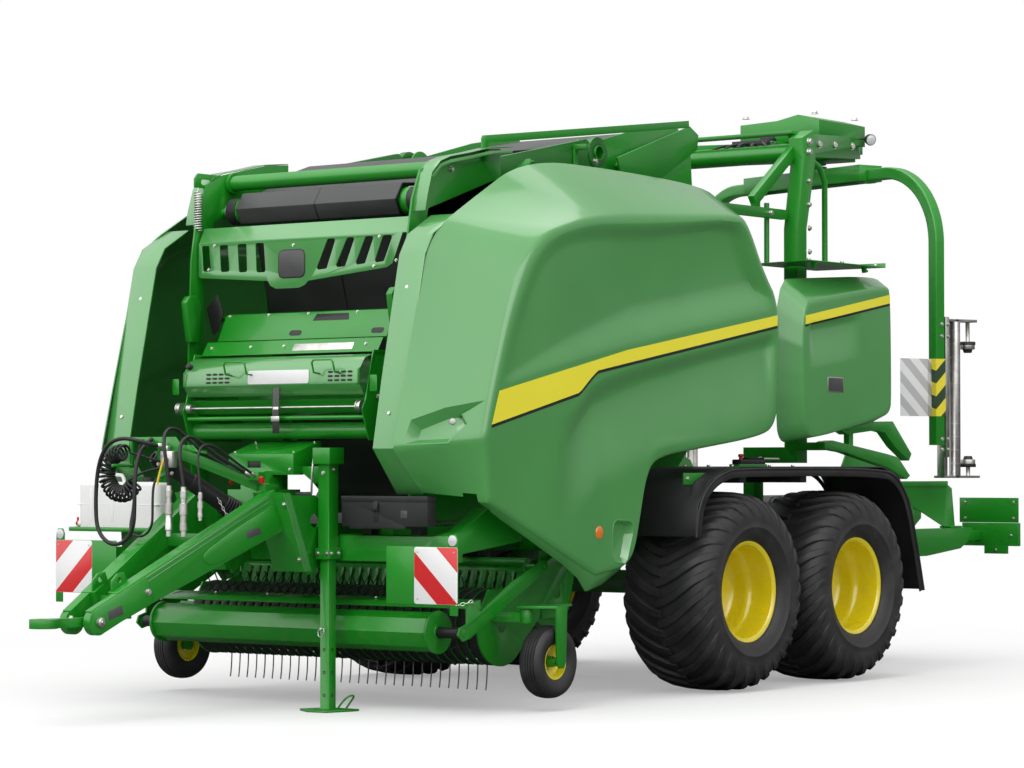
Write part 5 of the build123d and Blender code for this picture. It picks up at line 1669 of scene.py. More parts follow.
@dataclass
class NetBoxFittings:
    """The net roll's lid and what sits round it."""

    face_x: float = 2.3058
    lid_way: Point3 = (1, 0, 0.06)
    back_way: Point3 = (0.845, 0, 0.535)
    shaft: Point2 = (2.286, 1.664)

    def build(self) -> None:
        """Models what the lid carries, the sheet behind it, the shafts and the strap below."""
        self.lid()
        self.back_sheet()
        self.shafts()
        self.strap()
        cover = [sheet_plate(0.050, 0.090, 0.004, (2.279, y, 1.790), AHEAD, 0.008) for y in (-0.735, 0.735)]
        group("net_side_tabs", FRAME_GREEN, *cover)
        screws("net_side_screws", 0.018, [((2.19, y, 1.72), AHEAD) for y in (-0.69, 0.69)])

    def lid(self) -> None:
        """The lid's vents, as black slits of painted shade, blank plate, handles, knob and side edges."""
        vents = []
        for left in (-0.461, 0.445):
            for column in range(4):
                for row in range(3):
                    y, z = left + column * 0.047, 1.809 + row * 0.023
                    vents.append(toward((self.face_x - 0.001 - (z - 1.80) * 0.06, y, z), self.lid_way))
        # each vent is a thin black slit laid on the lid's face: painted shade, not an opening
        slit = plate(rounded_slot(0.036, 0.011, 3), Plane.FLOOR, 0.0, 0.0022, 0.0008)
        settle(copies(slit, vents), "lid_vents", BLACK_PRINT_AND_SHADE, Body.LID)
        label = sheet_plate(0.450, 0.076, 0.0014, (self.face_x - 0.0015, 0.065, 1.833), self.lid_way, 0.010)
        settle(label, "lid_blank_plate", PLATE_WHITE, Body.LID)
        grips = []
        for near, far in ((-0.288, -0.130), (0.365, 0.517)):
            loop = [(2.298, near, 1.846), (2.350, near, 1.852), (2.366, near, 1.905),
                    (2.366, near + 0.012, 1.920), (2.366, far - 0.012, 1.920), (2.366, far, 1.905),
                    (2.350, far, 1.852), (2.298, far, 1.846)]
            grips.append(rail(loop, 0.0055))
        group("lid_handles", FRAME_GREEN, *grips, body=Body.LID)
        knob = turned([(-0.006, 0), (-0.006, 0.017), (0.016, 0.019), (0.022, 0.014), (0.024, 0)],
                      (2.286, -0.62, 1.900), (0.9, 0, 0.43), 20)
        settle(knob, "lid_knob", BLACK_PLASTIC, Body.LID)
        edge = folded([(2.296, 1.874), (2.306, 1.866), (2.3085, 1.790), (2.302, 1.782)], 0.003, -0.651,
                      -0.643, 0.001)
        settle(both(edge), "lid_edges", FRAME_GREEN, Body.LID)

    def back_sheet(self) -> None:
        """The sheet behind the lid with its blank plate and screws."""
        group("net_back_sheet", FRAME_GREEN,
              folded([(2.100, 2.045), (2.150, 1.966), (2.158, 1.966)], 0.004, -0.655, 0.655))
        group("net_blank_plate", ZINC,
              sheet_plate(0.440, 0.046, 0.0014, (2.131, 0.243, 2.003), self.back_way, 0.006))
        bolts = [((2.1265, y, 2.012), self.back_way) for y in (-0.60, -0.30, -0.05, 0.55)]
        screws("net_back_screws", 0.014, bolts)

    def shafts(self) -> None:
        """The bright shaft with its pulleys and the green rod below it."""
        x, z = self.shaft
        pieces = [rod((x, -0.640, z), (x, 0.648, z), 0.0055, 16)]
        for y, radius in ((-0.690, 0.036), (-0.612, 0.028), (0.650, 0.036)):
            half = [(0.016, 0), (0.016, radius), (0.011, radius), (0.007, radius * 0.78)]
            pieces.append(turned([(-a, r) for a, r in half] + half[::-1], (x, y, z), LEFT, 32))
        group("net_shaft", ZINC, *pieces)
        group("net_lower_rod", FRAME_GREEN, rod((2.262, -0.655, 1.606), (2.262, 0.655, 1.606), 0.013, 20))

    def strap(self) -> None:
        """The strap that holds the net, in two lengths with a buckle between."""
        upper = folded([(2.294, 1.776), (2.297, 1.700), (2.300, 1.650), (2.300, 1.612)], 0.0022, 0.020, 0.066,
                       0.0004)
        group("net_strap_upper", BADGE_GREY, upper)
        lower = folded([(2.300, 1.600), (2.296, 1.560), (2.296, 1.520)], 0.0022, 0.018, 0.068, 0.0004)
        group("net_strap", BLACK_PLASTIC, lower)
        group("net_buckle", ZINC, bar((2.298, 0.012, 1.586), (2.307, 0.074, 1.616), 0.0025),
              bar((2.296, 0.022, 1.630), (2.302, 0.064, 1.668), 0.002))


# ---------------------------------------------------------------- drawbar


@dataclass
class DrawbarFittings:
    """Embossed panels, strips, bolts and the driveline guard along the drawbar."""

    slope: float = -0.1868
    root: float = 2.450
    outer: float = 0.3518

    def on_arm(self, outline: Sequence[Point2], low: float, high: float, edge: float) -> Piece:
        """A plate on the left arm's outer face, given in side view."""
        piece = plate(outline, Plane.SIDE, self.outer + low, self.outer + high, edge)
        return leaned(piece, self.root, self.slope)

    def build(self) -> None:
        """Models everything that the drawbar carries."""
        self.arm_sheets()
        self.hitch_end()
        lean = [(2.609, 1.193), (2.638, 1.193), (2.463, 0.767), (2.434, 0.767)]
        edges = [plate([(x - back, z) for x, z in lean], Plane.SIDE, 0.3995, 0.4012, 0.0006)
                 for back in (0.001, 0.029)]
        group("flange_edges", PANEL_GREEN_PAINTED_SHEEN, both(join(edges)))
        self.holder_fittings()
        self.coupling_sleeves()
        self.driveline()

    def arm_sheets(self) -> None:
        """The embossed panel, the strips, the lap and the blank plates on the arms' outer faces."""
        tear = [(3.094, 0.842), (3.035, 0.804), (2.854, 0.871), (2.660, 0.960), (2.560, 1.006),
                (2.615, 1.140), (2.700, 1.092), (2.885, 1.001), (2.990, 0.938), (3.074, 0.884)]
        group("drawbar_emboss", FRAME_GREEN, both(self.on_arm(resampled(tear, 2), -0.002, 0.0040, 0.0025)))
        strips = []
        for rise, thick in ((-0.008, 0.009), (-0.036, 0.005)):
            line = [(2.660, 1.182 + rise), (3.600, 0.688 + rise)]
            under = [(x, z - thick) for x, z in reversed(line)]
            strips.append(self.on_arm(line + under, -0.010, 0.0035, 0.0015))
        group("drawbar_strips", PANEL_GREEN_PAINTED_SHEEN, both(join(strips)))
        lap = [(3.452, 0.760), (3.409, 0.664), (3.424, 0.612), (3.600, 0.532), (3.725, 0.468), (3.785, 0.486),
               (3.806, 0.530), (3.796, 0.574), (3.756, 0.602), (3.600, 0.684)]
        group("drawbar_laps", FRAME_GREEN, both(self.on_arm(lap, -0.004, 0.006, 0.003)))
        bolt_x = 3.440
        face = self.outer + self.slope * (bolt_x - self.root) + 0.006
        screws("drawbar_lap_bolts", 0.028, on_both_sides([((bolt_x, face, 0.680), (0.183, 0.983, 0))]))
        near = self.on_arm([(3.692, 0.586), (3.605, 0.616), (3.595, 0.568), (3.685, 0.538)], 0.005, 0.0072,
                           0.0008)
        far = self.on_arm([(2.812, 0.988), (2.721, 1.011), (2.710, 0.974), (2.801, 0.947)], 0.003, 0.0052,
                          0.0008)
        group("drawbar_blank_plates", BADGE_GREY, both(join([near, far])))

    def hitch_end(self) -> None:
        """The chain eye, the hitch pin's ends and the bolts."""
        eye = plate([(3.490, 0.725), (3.610, 0.665), (3.610, 0.742), (3.572, 0.776), (3.518, 0.784)],
                    Plane.SIDE, 0.064, 0.076, 0.003)
        eye_hole = plate([(x + 3.556, z + 0.744) for x, z in rounded_slot(0.030, 0.0299, 8)], Plane.SIDE,
                         0.05, 0.09, 0)
        group("drawbar_eye", FRAME_GREEN, both(cut(eye, eye_hole)))
        ends = turned([(-0.01, 0), (-0.01, 0.026), (0.010, 0.026), (0.014, 0.021), (0.014, 0.011),
                       (0.022, 0.010), (0.022, 0)], (3.740, 0.126, 0.531), LEFT, 28)
        group("hitch_pins", ZINC, both(ends))
        heads = on_both_sides(((2.6405 - (1.195 - z) * 0.4116, 0.384, z), (0.925, 0, -0.381))
                              for z in (1.130, 0.830))
        screws("drawbar_bolts", 0.022, [*heads, ((3.830, 0.0, 0.555), UP)])

    def holder_fittings(self) -> None:
        """The valve block, its lever and the clips on the hose holder."""
        block = bar((3.062, -0.070, 1.330), (3.104, 0.020, 1.420), 0.006)
        neck = bar((3.066, -0.060, 1.420), (3.098, -0.020, 1.448), 0.004)
        group("valve_block", ZINC,
              block, neck, rod((3.104, -0.026, 1.375), (3.122, -0.026, 1.375), 0.017, 20))
        lever = rail([(3.118, -0.026, 1.375), (3.128, -0.030, 1.352), (3.150, -0.040, 1.262),
                      (3.152, -0.040, 1.236)], 0.0055)
        group("valve_lever", HANDLE_YELLOW, lever)
        caps = [turned([(0, 0), (0, 0.013), (0.004, 0.015), (0.034, 0.013), (0.038, 0.009), (0.039, 0)],
                       (2.640, y, 1.246), (0.3, 0, 0.95), 20) for y in (0.030, 0.250)]
        group("port_caps", CAP_RED, *caps)
        spots = [(-0.120, 1.455), (-0.205, 1.455), (-0.120, 1.350), (-0.020, 1.300)]
        screws("holder_screws", 0.016, [((3.0625, y, z), AHEAD) for y, z in spots])

    def coupling_sleeves(self) -> None:
        """Stepped sleeves and collars over the couplings at the hoses' ends."""
        steps = [(0.0, 0.0), (0.0, 0.66), (0.08, 0.72), (0.09, 0.86), (0.22, 0.86), (0.23, 0.70),
                 (0.33, 0.70), (0.34, 1.02), (0.56, 1.02), (0.57, 0.80), (0.74, 0.80), (0.75, 0.90),
                 (0.88, 0.90), (0.89, 0.66), (1.0, 0.66), (1.0, 0.0)]
        sleeves = []
        for x, y, top, low, wide in ((3.150, 0.042, 1.2352, 0.9648, 0.0225),
                                     (3.142, 0.142, 1.2282, 0.9648, 0.0225),
                                     (3.124, 0.246, 1.2002, 1.0498, 0.0155)):
            profile = [(share * (top - low), part * wide) for share, part in steps]
            sleeves.append(turned(profile, (x, y, top), (0, 0, -1), 32))
        group("coupling_sleeves", ZINC, *sleeves)

    def driveline(self) -> None:
        """The ribbed guard round the drive shaft and its chain."""
        start, end = Vector((2.576, 0.0, 1.088)), Vector((3.030, -0.190, 1.392))
        profile = [(0.0, 0.0), (0.0, 0.056), (0.006, 0.060)]
        for ring in range(5):
            place, taper = 0.012 + ring * 0.017, ring * 0.0012
            profile += [(place, 0.060 - taper), (place + 0.007, 0.0615 - taper),
                        (place + 0.012, 0.055 - taper)]
        profile += [(0.110, 0.050), (0.318, 0.048), (0.322, 0.044), (0.420, 0.0435), (0.470, 0.0435),
                    (0.474, 0.046), (0.540, 0.046), (0.560, 0.042), (0.5786, 0.034), (0.5790, 0.022),
                    (0.560, 0.020), (0.560, 0.0)]
        guard = turned(profile, tuple(start), tuple(end - start), 40)
        settle(guard, "driveline_guard", BLACK_PLASTIC, node="pto_shaft")
        chain = [start.lerp(end, 0.30) + Vector((0.0, 0.052, -0.02)), start.lerp(end, 0.22)
                 + Vector((0, 0.09, -0.12)), start + Vector((0.02, 0.13, -0.03))]
        group("guard_chain", ZINC, links(chain, 0.013, 0.0021))


def links(points: Sequence[Point3], size: float, wire: float) -> Piece:
    """A chain along straight runs, of oval links turned a quarter against each other.

    Args:
        points: the corners of the chain's line.
        size: one link's length inside.
        wire: the wire's radius.
    """
    corners = [Vector(point) for point in points]
    samples = 60
    line = []
    for i in range(samples + 1):
        along = i / samples * (len(corners) - 1)
        run = min(int(along), len(corners) - 2)
        line.append(corners[run].lerp(corners[run + 1], along - run))
    spots, walked, want = [], 0.0, 0.0
    for a, b in zip(line, line[1:]):
        step = (b - a).length
        while walked + step >= want:
            turn = Matrix.Rotation(math.pi / 2 * (len(spots) % 2), 4, "Z")
            spots.append(toward(a.lerp(b, (want - walked) / step), b - a) @ turn)
            want += size * 1.5
        walked += step
    side, low, tip = 0.45 * size, 0.45 * size, 1.035 * size
    oval = [(side, 0, -low), (side, 0, low), (0, 0, tip), (-side, 0, low), (-side, 0, -low), (0, 0, -tip)]
    return copies(pipe(oval, wire, True, 3), spots)


@dataclass
class JackFittings:
    """The crank, pins and straps of the parking jack."""

    x: float = 2.290
    y: float = 0.420

    def build(self) -> None:
        """Models the crank on the tube, the bolts, the leg's holes as dark discs of painted shade, the pin,
        and the foot's loop.
        """
        crank = rail([(2.330, 0.382, 1.400), (2.345, 0.362, 1.392), (2.345, 0.350, 1.300),
                      (2.345, 0.346, 1.190), (2.345, 0.336, 1.183)], 0.0065)
        group("jack_crank", ZINC, crank)
        grip = turned([(0, 0), (0, 0.013), (0.006, 0.016), (0.05, 0.0145), (0.10, 0.016), (0.108, 0.012),
                       (0.110, 0)], (2.345, 0.340, 1.183), (0, -1, 0), 20)
        group("jack_grip", BLACK_PLASTIC, grip)
        gusset = plate([(0.182, 1.338), (0.372, 1.338), (0.372, 1.244), (0.330, 1.244)], Plane.FRONT, 2.296,
                       2.301, 0.0015)
        group("jack_gusset", FRAME_GREEN, gusset)
        x, y = self.x, self.y
        spots = [((x + 0.0525, y - 0.032, 0.862), AHEAD), ((x + 0.0525, y + 0.032, 0.862), AHEAD),
                 ((x - 0.030, y + 0.0525, 0.862), LEFT), ((x + 0.030, y + 0.0525, 0.862), LEFT),
                 ((x + 0.0415, y, 1.300), AHEAD), ((x, y + 0.0415, 1.320), LEFT)]
        screws("jack_bolts", 0.020, spots)
        # the leg's holes are dark discs laid on the tube: painted shade, not openings
        shaded_hole_spots = [place for z in (0.337, 0.212, 0.088)
                 for place in (toward((x + 0.0312, y, z), AHEAD), toward((x, y + 0.0312, z), LEFT))]
        hole = turned([(-0.001, 0), (-0.001, 0.0095), (0.0006, 0.0095), (0.0002, 0.008), (-0.0008, 0)],
                      (0, 0, 0), UP, 20)
        settle(copies(hole, shaded_hole_spots), "jack_leg_holes", BLACK_PRINT_AND_SHADE, Body.JACK)
        pin = rod((x + 0.020, y, 0.450), (x + 0.066, y, 0.450), 0.0085, 16)
        clip = pipe([(x + 0.060, y, 0.458), (x + 0.062, y + 0.026, 0.452), (x + 0.064, y + 0.024, 0.412),
                     (x + 0.064, y - 0.012, 0.404), (x + 0.062, y - 0.022, 0.438)], 0.0024, True)
        group("jack_leg_pin", ZINC, pin, clip, body=Body.JACK)
        foot = pipe([(2.262, 0.462, 0.010), (2.250, 0.496, 0.060), (2.232, 0.524, 0.086),
                     (2.196, 0.532, 0.086), (2.192, 0.506, 0.056), (2.206, 0.476, 0.010)], 0.0055)
        seam = plate([(2.245, 0.375), (2.335, 0.375), (2.335, 0.465), (2.245, 0.465)], Plane.FLOOR, 0.0118,
                     0.0170, 0.002)
        group("jack_foot_loop", FRAME_GREEN, foot, seam, body=Body.JACK)


@dataclass
class TankAndToolbox:
    """The white water tank and the black toolbox."""

    def build(self) -> None:
        """Models what the tank and the toolbox carry."""
        self.tank()
        self.toolbox()

    def tank(self) -> None:
        """The tank's handle, ribs, seam, cap and tap."""
        handle = pipe([(2.411, -1.190, 1.240), (2.411, -1.186, 1.284), (2.411, -1.150, 1.290),
                       (2.411, -1.060, 1.290), (2.411, -1.018, 1.284), (2.411, -1.012, 1.240)], 0.011)
        ribs = [bar((2.468, y - 0.010, 1.030), (2.4735, y + 0.010, 1.210), 0.0025)
                for y in (-1.22, -1.05, -0.88)]
        seam = bar((2.350, -1.3315, 1.118), (2.4715, -0.6985, 1.1225), 0.001)
        group("tank_handle", TANK_WHITE, handle, *ribs, seam)
        cap = turned([(-0.01, 0), (-0.01, 0.034), (0.010, 0.036), (0.022, 0.034), (0.026, 0.028), (0.027, 0)],
                     (2.411, -0.830, 1.250), UP, 28)
        group("tank_cap", BLACK_PLASTIC, cap)
        tap = turned([(0, 0), (0, 0.012), (0.012, 0.014), (0.022, 0.014), (0.026, 0.010), (0.028, 0)],
                     (2.430, -1.350, 1.010), (0, -1, 0), 20)
        group("tank_tap", CAP_RED, tap, bar((2.425, -1.372, 1.016), (2.435, -1.362, 1.046), 0.002))

    def toolbox(self) -> None:
        """The toolbox's lid, latch, hinges and blank plate."""
        lid = folded([(2.2545, 1.146), (2.2545, 1.1775), (2.3325, 1.1775), (2.3325, 1.146)], -0.003, 0.547,
                     1.153, 0.0012)
        caps = [plate([(2.256, 1.146), (2.331, 1.146), (2.331, 1.176), (2.256, 1.176)], Plane.SIDE, y,
                      y + 0.003, 0.001) for y in (0.547, 1.150)]
        group("toolbox_lid", BLACK_PLASTIC, lid, *caps)
        strap = [bar((2.3305, 0.781, 1.040), (2.3335, 0.809, 1.150), 0.001),
                 bar((2.332, 0.776, 1.094), (2.343, 0.814, 1.138), 0.004),
                 bar((2.341, 0.784, 1.100), (2.348, 0.806, 1.118), 0.002)]
        hinges = [rod((2.253, y, 1.170), (2.253, y + 0.050, 1.170), 0.005, 14) for y in (0.66, 0.99)]
        group("toolbox_latches", BLACK_PLASTIC, *strap, *hinges)
        group("toolbox_blank_plate", BADGE_GREY,
              sheet_plate(0.046, 0.040, 0.0012, (2.3303, 0.989, 1.080), AHEAD, 0.004))


# ---------------------------------------------------------------- boards, pickup and fenders


@dataclass
class MarkerBoards:
    """Striped boards and reflectors at the front, lamps and boards at the rear."""

    sheet_x: float = 2.4895

    def build(self) -> None:
        """Models the striped sheets, the reflectors and the lamps."""
        self.front()
        self.rear()

    def front(self) -> None:
        """The front boards, with a reflector on each in its ear."""
        stripes = (BOARD_STRIPES_LEFT, BOARD_STRIPES_RIGHT)
        y, z = 1.3375, 0.763
        sheet = sheet_plate(0.290, 0.298, 0.0018, (self.sheet_x + 0.0005, y, z), AHEAD, 0.012)
        settle_pair(sheet, "front_board_{}", stripes)
        backing = sheet_plate(0.292, 0.300, 0.0008, (self.sheet_x + 0.0004, y, z), AHEAD, 0.013)
        settle_pair(backing, "front_board_edge_{}", PLATE_WHITE)
        lens = turned([(-0.004, 0), (-0.004, 0.028), (0.004, 0.028), (0.006, 0.024), (0.0068, 0)],
                      (self.sheet_x, 1.450, 0.948), AHEAD, 28)
        settle_pair(lens, "front_reflector_{}", WHITE_LENS)
        ear = plate([(1.418, 0.900), (1.484, 0.900), (1.484, 0.952), (1.470, 0.980), (1.430, 0.980),
                     (1.416, 0.952)], Plane.FRONT, 2.484, 2.489, 0.0015)
        settle_pair(ear, "front_reflector_ear_{}", FRAME_GREEN)
        corners = [((self.sheet_x + 0.002, y, z), AHEAD) for z in (0.886, 0.640) for y in (1.215, 1.460)]
        screws("front_board_screws", 0.008, on_both_sides(corners))

    def rear(self) -> None:
        """The rear boards and lamps."""
        back = (-1, 0, 0)
        sheet = sheet_plate(0.200, 0.166, 0.0016, (-4.0762, 1.100, 1.036), back, 0.008)
        settle_pair(sheet, "rear_board_{}", (BOARD_STRIPES_LEFT, BOARD_STRIPES_RIGHT))
        case = sheet_plate(0.200, 0.084, 0.012, (-4.0995, 1.105, 0.868), back, 0.010)
        settle_pair(case, "rear_lamp_case_{}", BLACK_PLASTIC)
        for name, y, finish in (("stop", 1.140, RED_LENS), ("turn", 1.065, AMBER)):
            lens = turned([(0, 0), (0, 0.030), (0.006, 0.029), (0.010, 0.022), (0.011, 0)],
                          (-4.111, y, 0.868), back, 28)
            settle_pair(lens, "rear_lamp_" + name + "_{}", finish)
        spots = [(0.80, 1.09), (1.18, 1.09), (0.80, 0.98), (1.18, 0.98), (0.84, 0.86), (1.16, 0.86),
                 (1.04, 0.76)]
        screws("rear_board_screws", 0.018, on_both_sides(((-4.067, y, z), AHEAD) for y, z in spots))


@dataclass
class PickupTines:
    """The pickup's spring tines, its press, sleeves, chain and stripper bands."""

    x: float = 1.580
    z: float = 0.450
    bars: int = 5
    bar_radius: float = 0.160
    reach: float = 0.352
    wire: float = 0.0038
    pitch: float = 0.132
    row: int = 15
    roller: Point2 = (2.075, 0.440)
    frame_skin: float = 0.2155

    def tine(self) -> Piece:
        """One double tine: a coil about the bar and a leg that trails outward, along +X from the axis."""
        foot = self.bar_radius
        legs = []
        for y in (-0.033, 0.033):
            legs.append(pipe([
                (foot, 0.0, 0.021), (foot - 0.016, y * 0.35, 0.014), (foot - 0.020, y * 0.7, -0.004),
                (foot - 0.004, y, -0.022), (foot + 0.014, y, -0.020), (foot + 0.040, y, -0.018),
                (self.reach - 0.050, y, -0.014), (self.reach, y, -0.004),
            ], self.wire, smoothness=4))
        return join(legs)

    def build(self) -> None:
        """Models the tines and everything small on the pickup."""
        centre = Matrix.Translation((self.x, 0, self.z))
        places = []
        for bar_index in range(self.bars):
            turn = Matrix.Rotation(-math.radians(360 / self.bars * bar_index + 54), 4, "Y")
            for i in range(self.row):
                places.append(
                    centre @ turn @ Matrix.Translation((0, (i - (self.row - 1) / 2) * self.pitch, 0)))
        settle(copies(self.tine(), places), "pickup_tines", TINE_STEEL, Body.REEL)
        ribs = [folded([(1.934, 0.6185), (2.020, 0.6025), (2.043, 0.5745)], -0.010, i / 5 - 0.006,
                       i / 5 + 0.006, 0.002) for i in range(-5, 6)]
        group("press_ribs", FRAME_GREEN, *ribs, body=Body.PRESS)
        bolts = [((1.978, y, 0.6120), (0.18, 0, 0.98)) for y in (-1.1, -0.7, -0.3, 0.1, 0.5, 0.9)]
        screws("press_bolts", 0.016, bolts + on_both_sides([((2.006, 1.199, 0.600), LEFT)]), Body.PRESS)
        x, z = self.roller
        sleeve = turned([(0, 0), (0, 0.030), (0.006, 0.033), (0.060, 0.029), (0.120, 0.033), (0.140, 0.029),
                         (0.142, 0)], (x, 1.030, z), LEFT, 28)
        settle(both(sleeve), "roller_sleeves", BLACK_PLASTIC, Body.ROLLER)
        cap = turned([(0, 0), (0, 0.040), (0.005, 0.044), (0.010, 0.040), (0.011, 0)], (x, 1.0185, z), LEFT,
                     28)
        settle(both(cap), "roller_end_caps", FRAME_GREEN, Body.ROLLER)
        chain = [(2.480, 1.479, 0.612), (2.466, 1.500, 0.618), (2.450, 1.526, 0.625), (2.424, 1.532, 0.636)]
        group("board_chain", ZINC, links(chain, 0.016, 0.0026))
        self.bands()

    def bands(self) -> None:
        """Black stripper bands over the reel, a skin on the pickup frame's sheets."""

        def is_elsewhere(face: bmesh.types.BMFace) -> bool:
            """Whether a face lies off the sheets between the reel's bars."""
            reach = max(math.dist((corner.co.x, corner.co.z), (self.x, self.z)) for corner in face.verts)
            return reach > self.frame_skin or abs(face.calc_center_median().y) > 1.055

        skin = adopt(bpy.data.objects["pickup_frame_body"].data.copy())
        settle(without_faces(skin, is_elsewhere, 0.0007), "stripper_bands", BLACK_PLASTIC, Body.PICKUP)


@dataclass
class FenderFittings:
    """Lips, brackets and the control box on the rear fenders."""

    path: tuple = (
        (0.266, 0.930), (0.240, 1.110), (0.130, 1.240), (-0.040, 1.310), (-0.210, 1.328), (-1.820, 1.328),
        (-2.010, 1.270), (-2.150, 1.120), (-2.245, 0.830), (-2.325, 0.550),
    )

    def build(self) -> None:
        """Models the fender lips, straps and brackets, and the control box."""
        line = self.rounded_path()
        lip = folded(line, 0.050, 1.472, 1.479, 0.0015)
        inner = folded(line, 0.030, 0.900, 0.906, 0.0015)
        bead = pipe([(x, 1.477, z - 0.004) for x, z in line], 0.0085, smoothness=3)
        group("fender_lips", FENDER_BLACK, both(join([lip, inner, bead])))
        strap_places = (-1.0, -0.33)
        straps = [folded([(x + 0.022, 1.3335), (x - 0.022, 1.3335)], 0.006, 0.905, 1.470, 0.002)
                  for x in strap_places]
        group("fender_straps", FENDER_BLACK, both(join(straps)))
        bracket = plate([(0.235, 1.232), (0.235, 1.300), (-0.060, 1.300), (-0.096, 1.284), (-0.104, 1.262),
                         (-0.090, 1.240), (-0.060, 1.232)], Plane.SIDE, 1.360, 1.369, 0.003)
        group("fender_brackets", FRAME_GREEN, both(bracket))
        heads = [((x, y, 1.336), UP) for x in strap_places for y in (0.99, 1.16, 1.33)]
        heads += [((x, 1.369, 1.266), LEFT) for x in (0.20, -0.060)]
        screws("fender_screws", 0.024, on_both_sides(heads))
        self.control_box()

    def control_box(self) -> None:
        """The box on the left fender with its fins, knob and lever."""
        group("control_box_base", FRAME_GREEN, bar((-0.700, 1.262, 1.334), (-0.400, 1.340, 1.352), 0.003))
        fins = [bar((-0.690, 1.268, 1.350), (-0.420, 1.334, 1.380), 0.006)]
        fins += [bar((-0.680 + 0.025 * i, 1.270, 1.376), (-0.668 + 0.025 * i, 1.332, 1.392), 0.003)
                 for i in range(7)]
        group("control_box", BLACK_PLASTIC, *fins)
        knob = turned([(0, 0), (0, 0.012), (0.016, 0.012), (0.020, 0.017), (0.030, 0.017), (0.034, 0.012),
                       (0.035, 0)], (-0.470, 1.300, 1.378), UP, 20)
        group("control_knob", CAP_RED, knob)
        group("control_lever", ZINC, rod((-0.658, 1.300, 1.383), (-0.888, 1.300, 1.383), 0.008, 14),
              rod((-0.640, 1.300, 1.376), (-0.690, 1.300, 1.384), 0.014, 16))

    def rounded_path(self) -> list[Point2]:
        """The fender's side line with its corners cut twice."""
        line = list(self.path)
        for _ in range(2):
            softer = [line[0]]
            for (ax, az), (bx, bz) in zip(line, line[1:]):
                softer += [(ax * 0.75 + bx * 0.25, az * 0.75 + bz * 0.25),
                           (ax * 0.25 + bx * 0.75, az * 0.25 + bz * 0.75)]
            line = [*softer, line[-1]]
        return line


# ---------------------------------------------------------------- wrapper


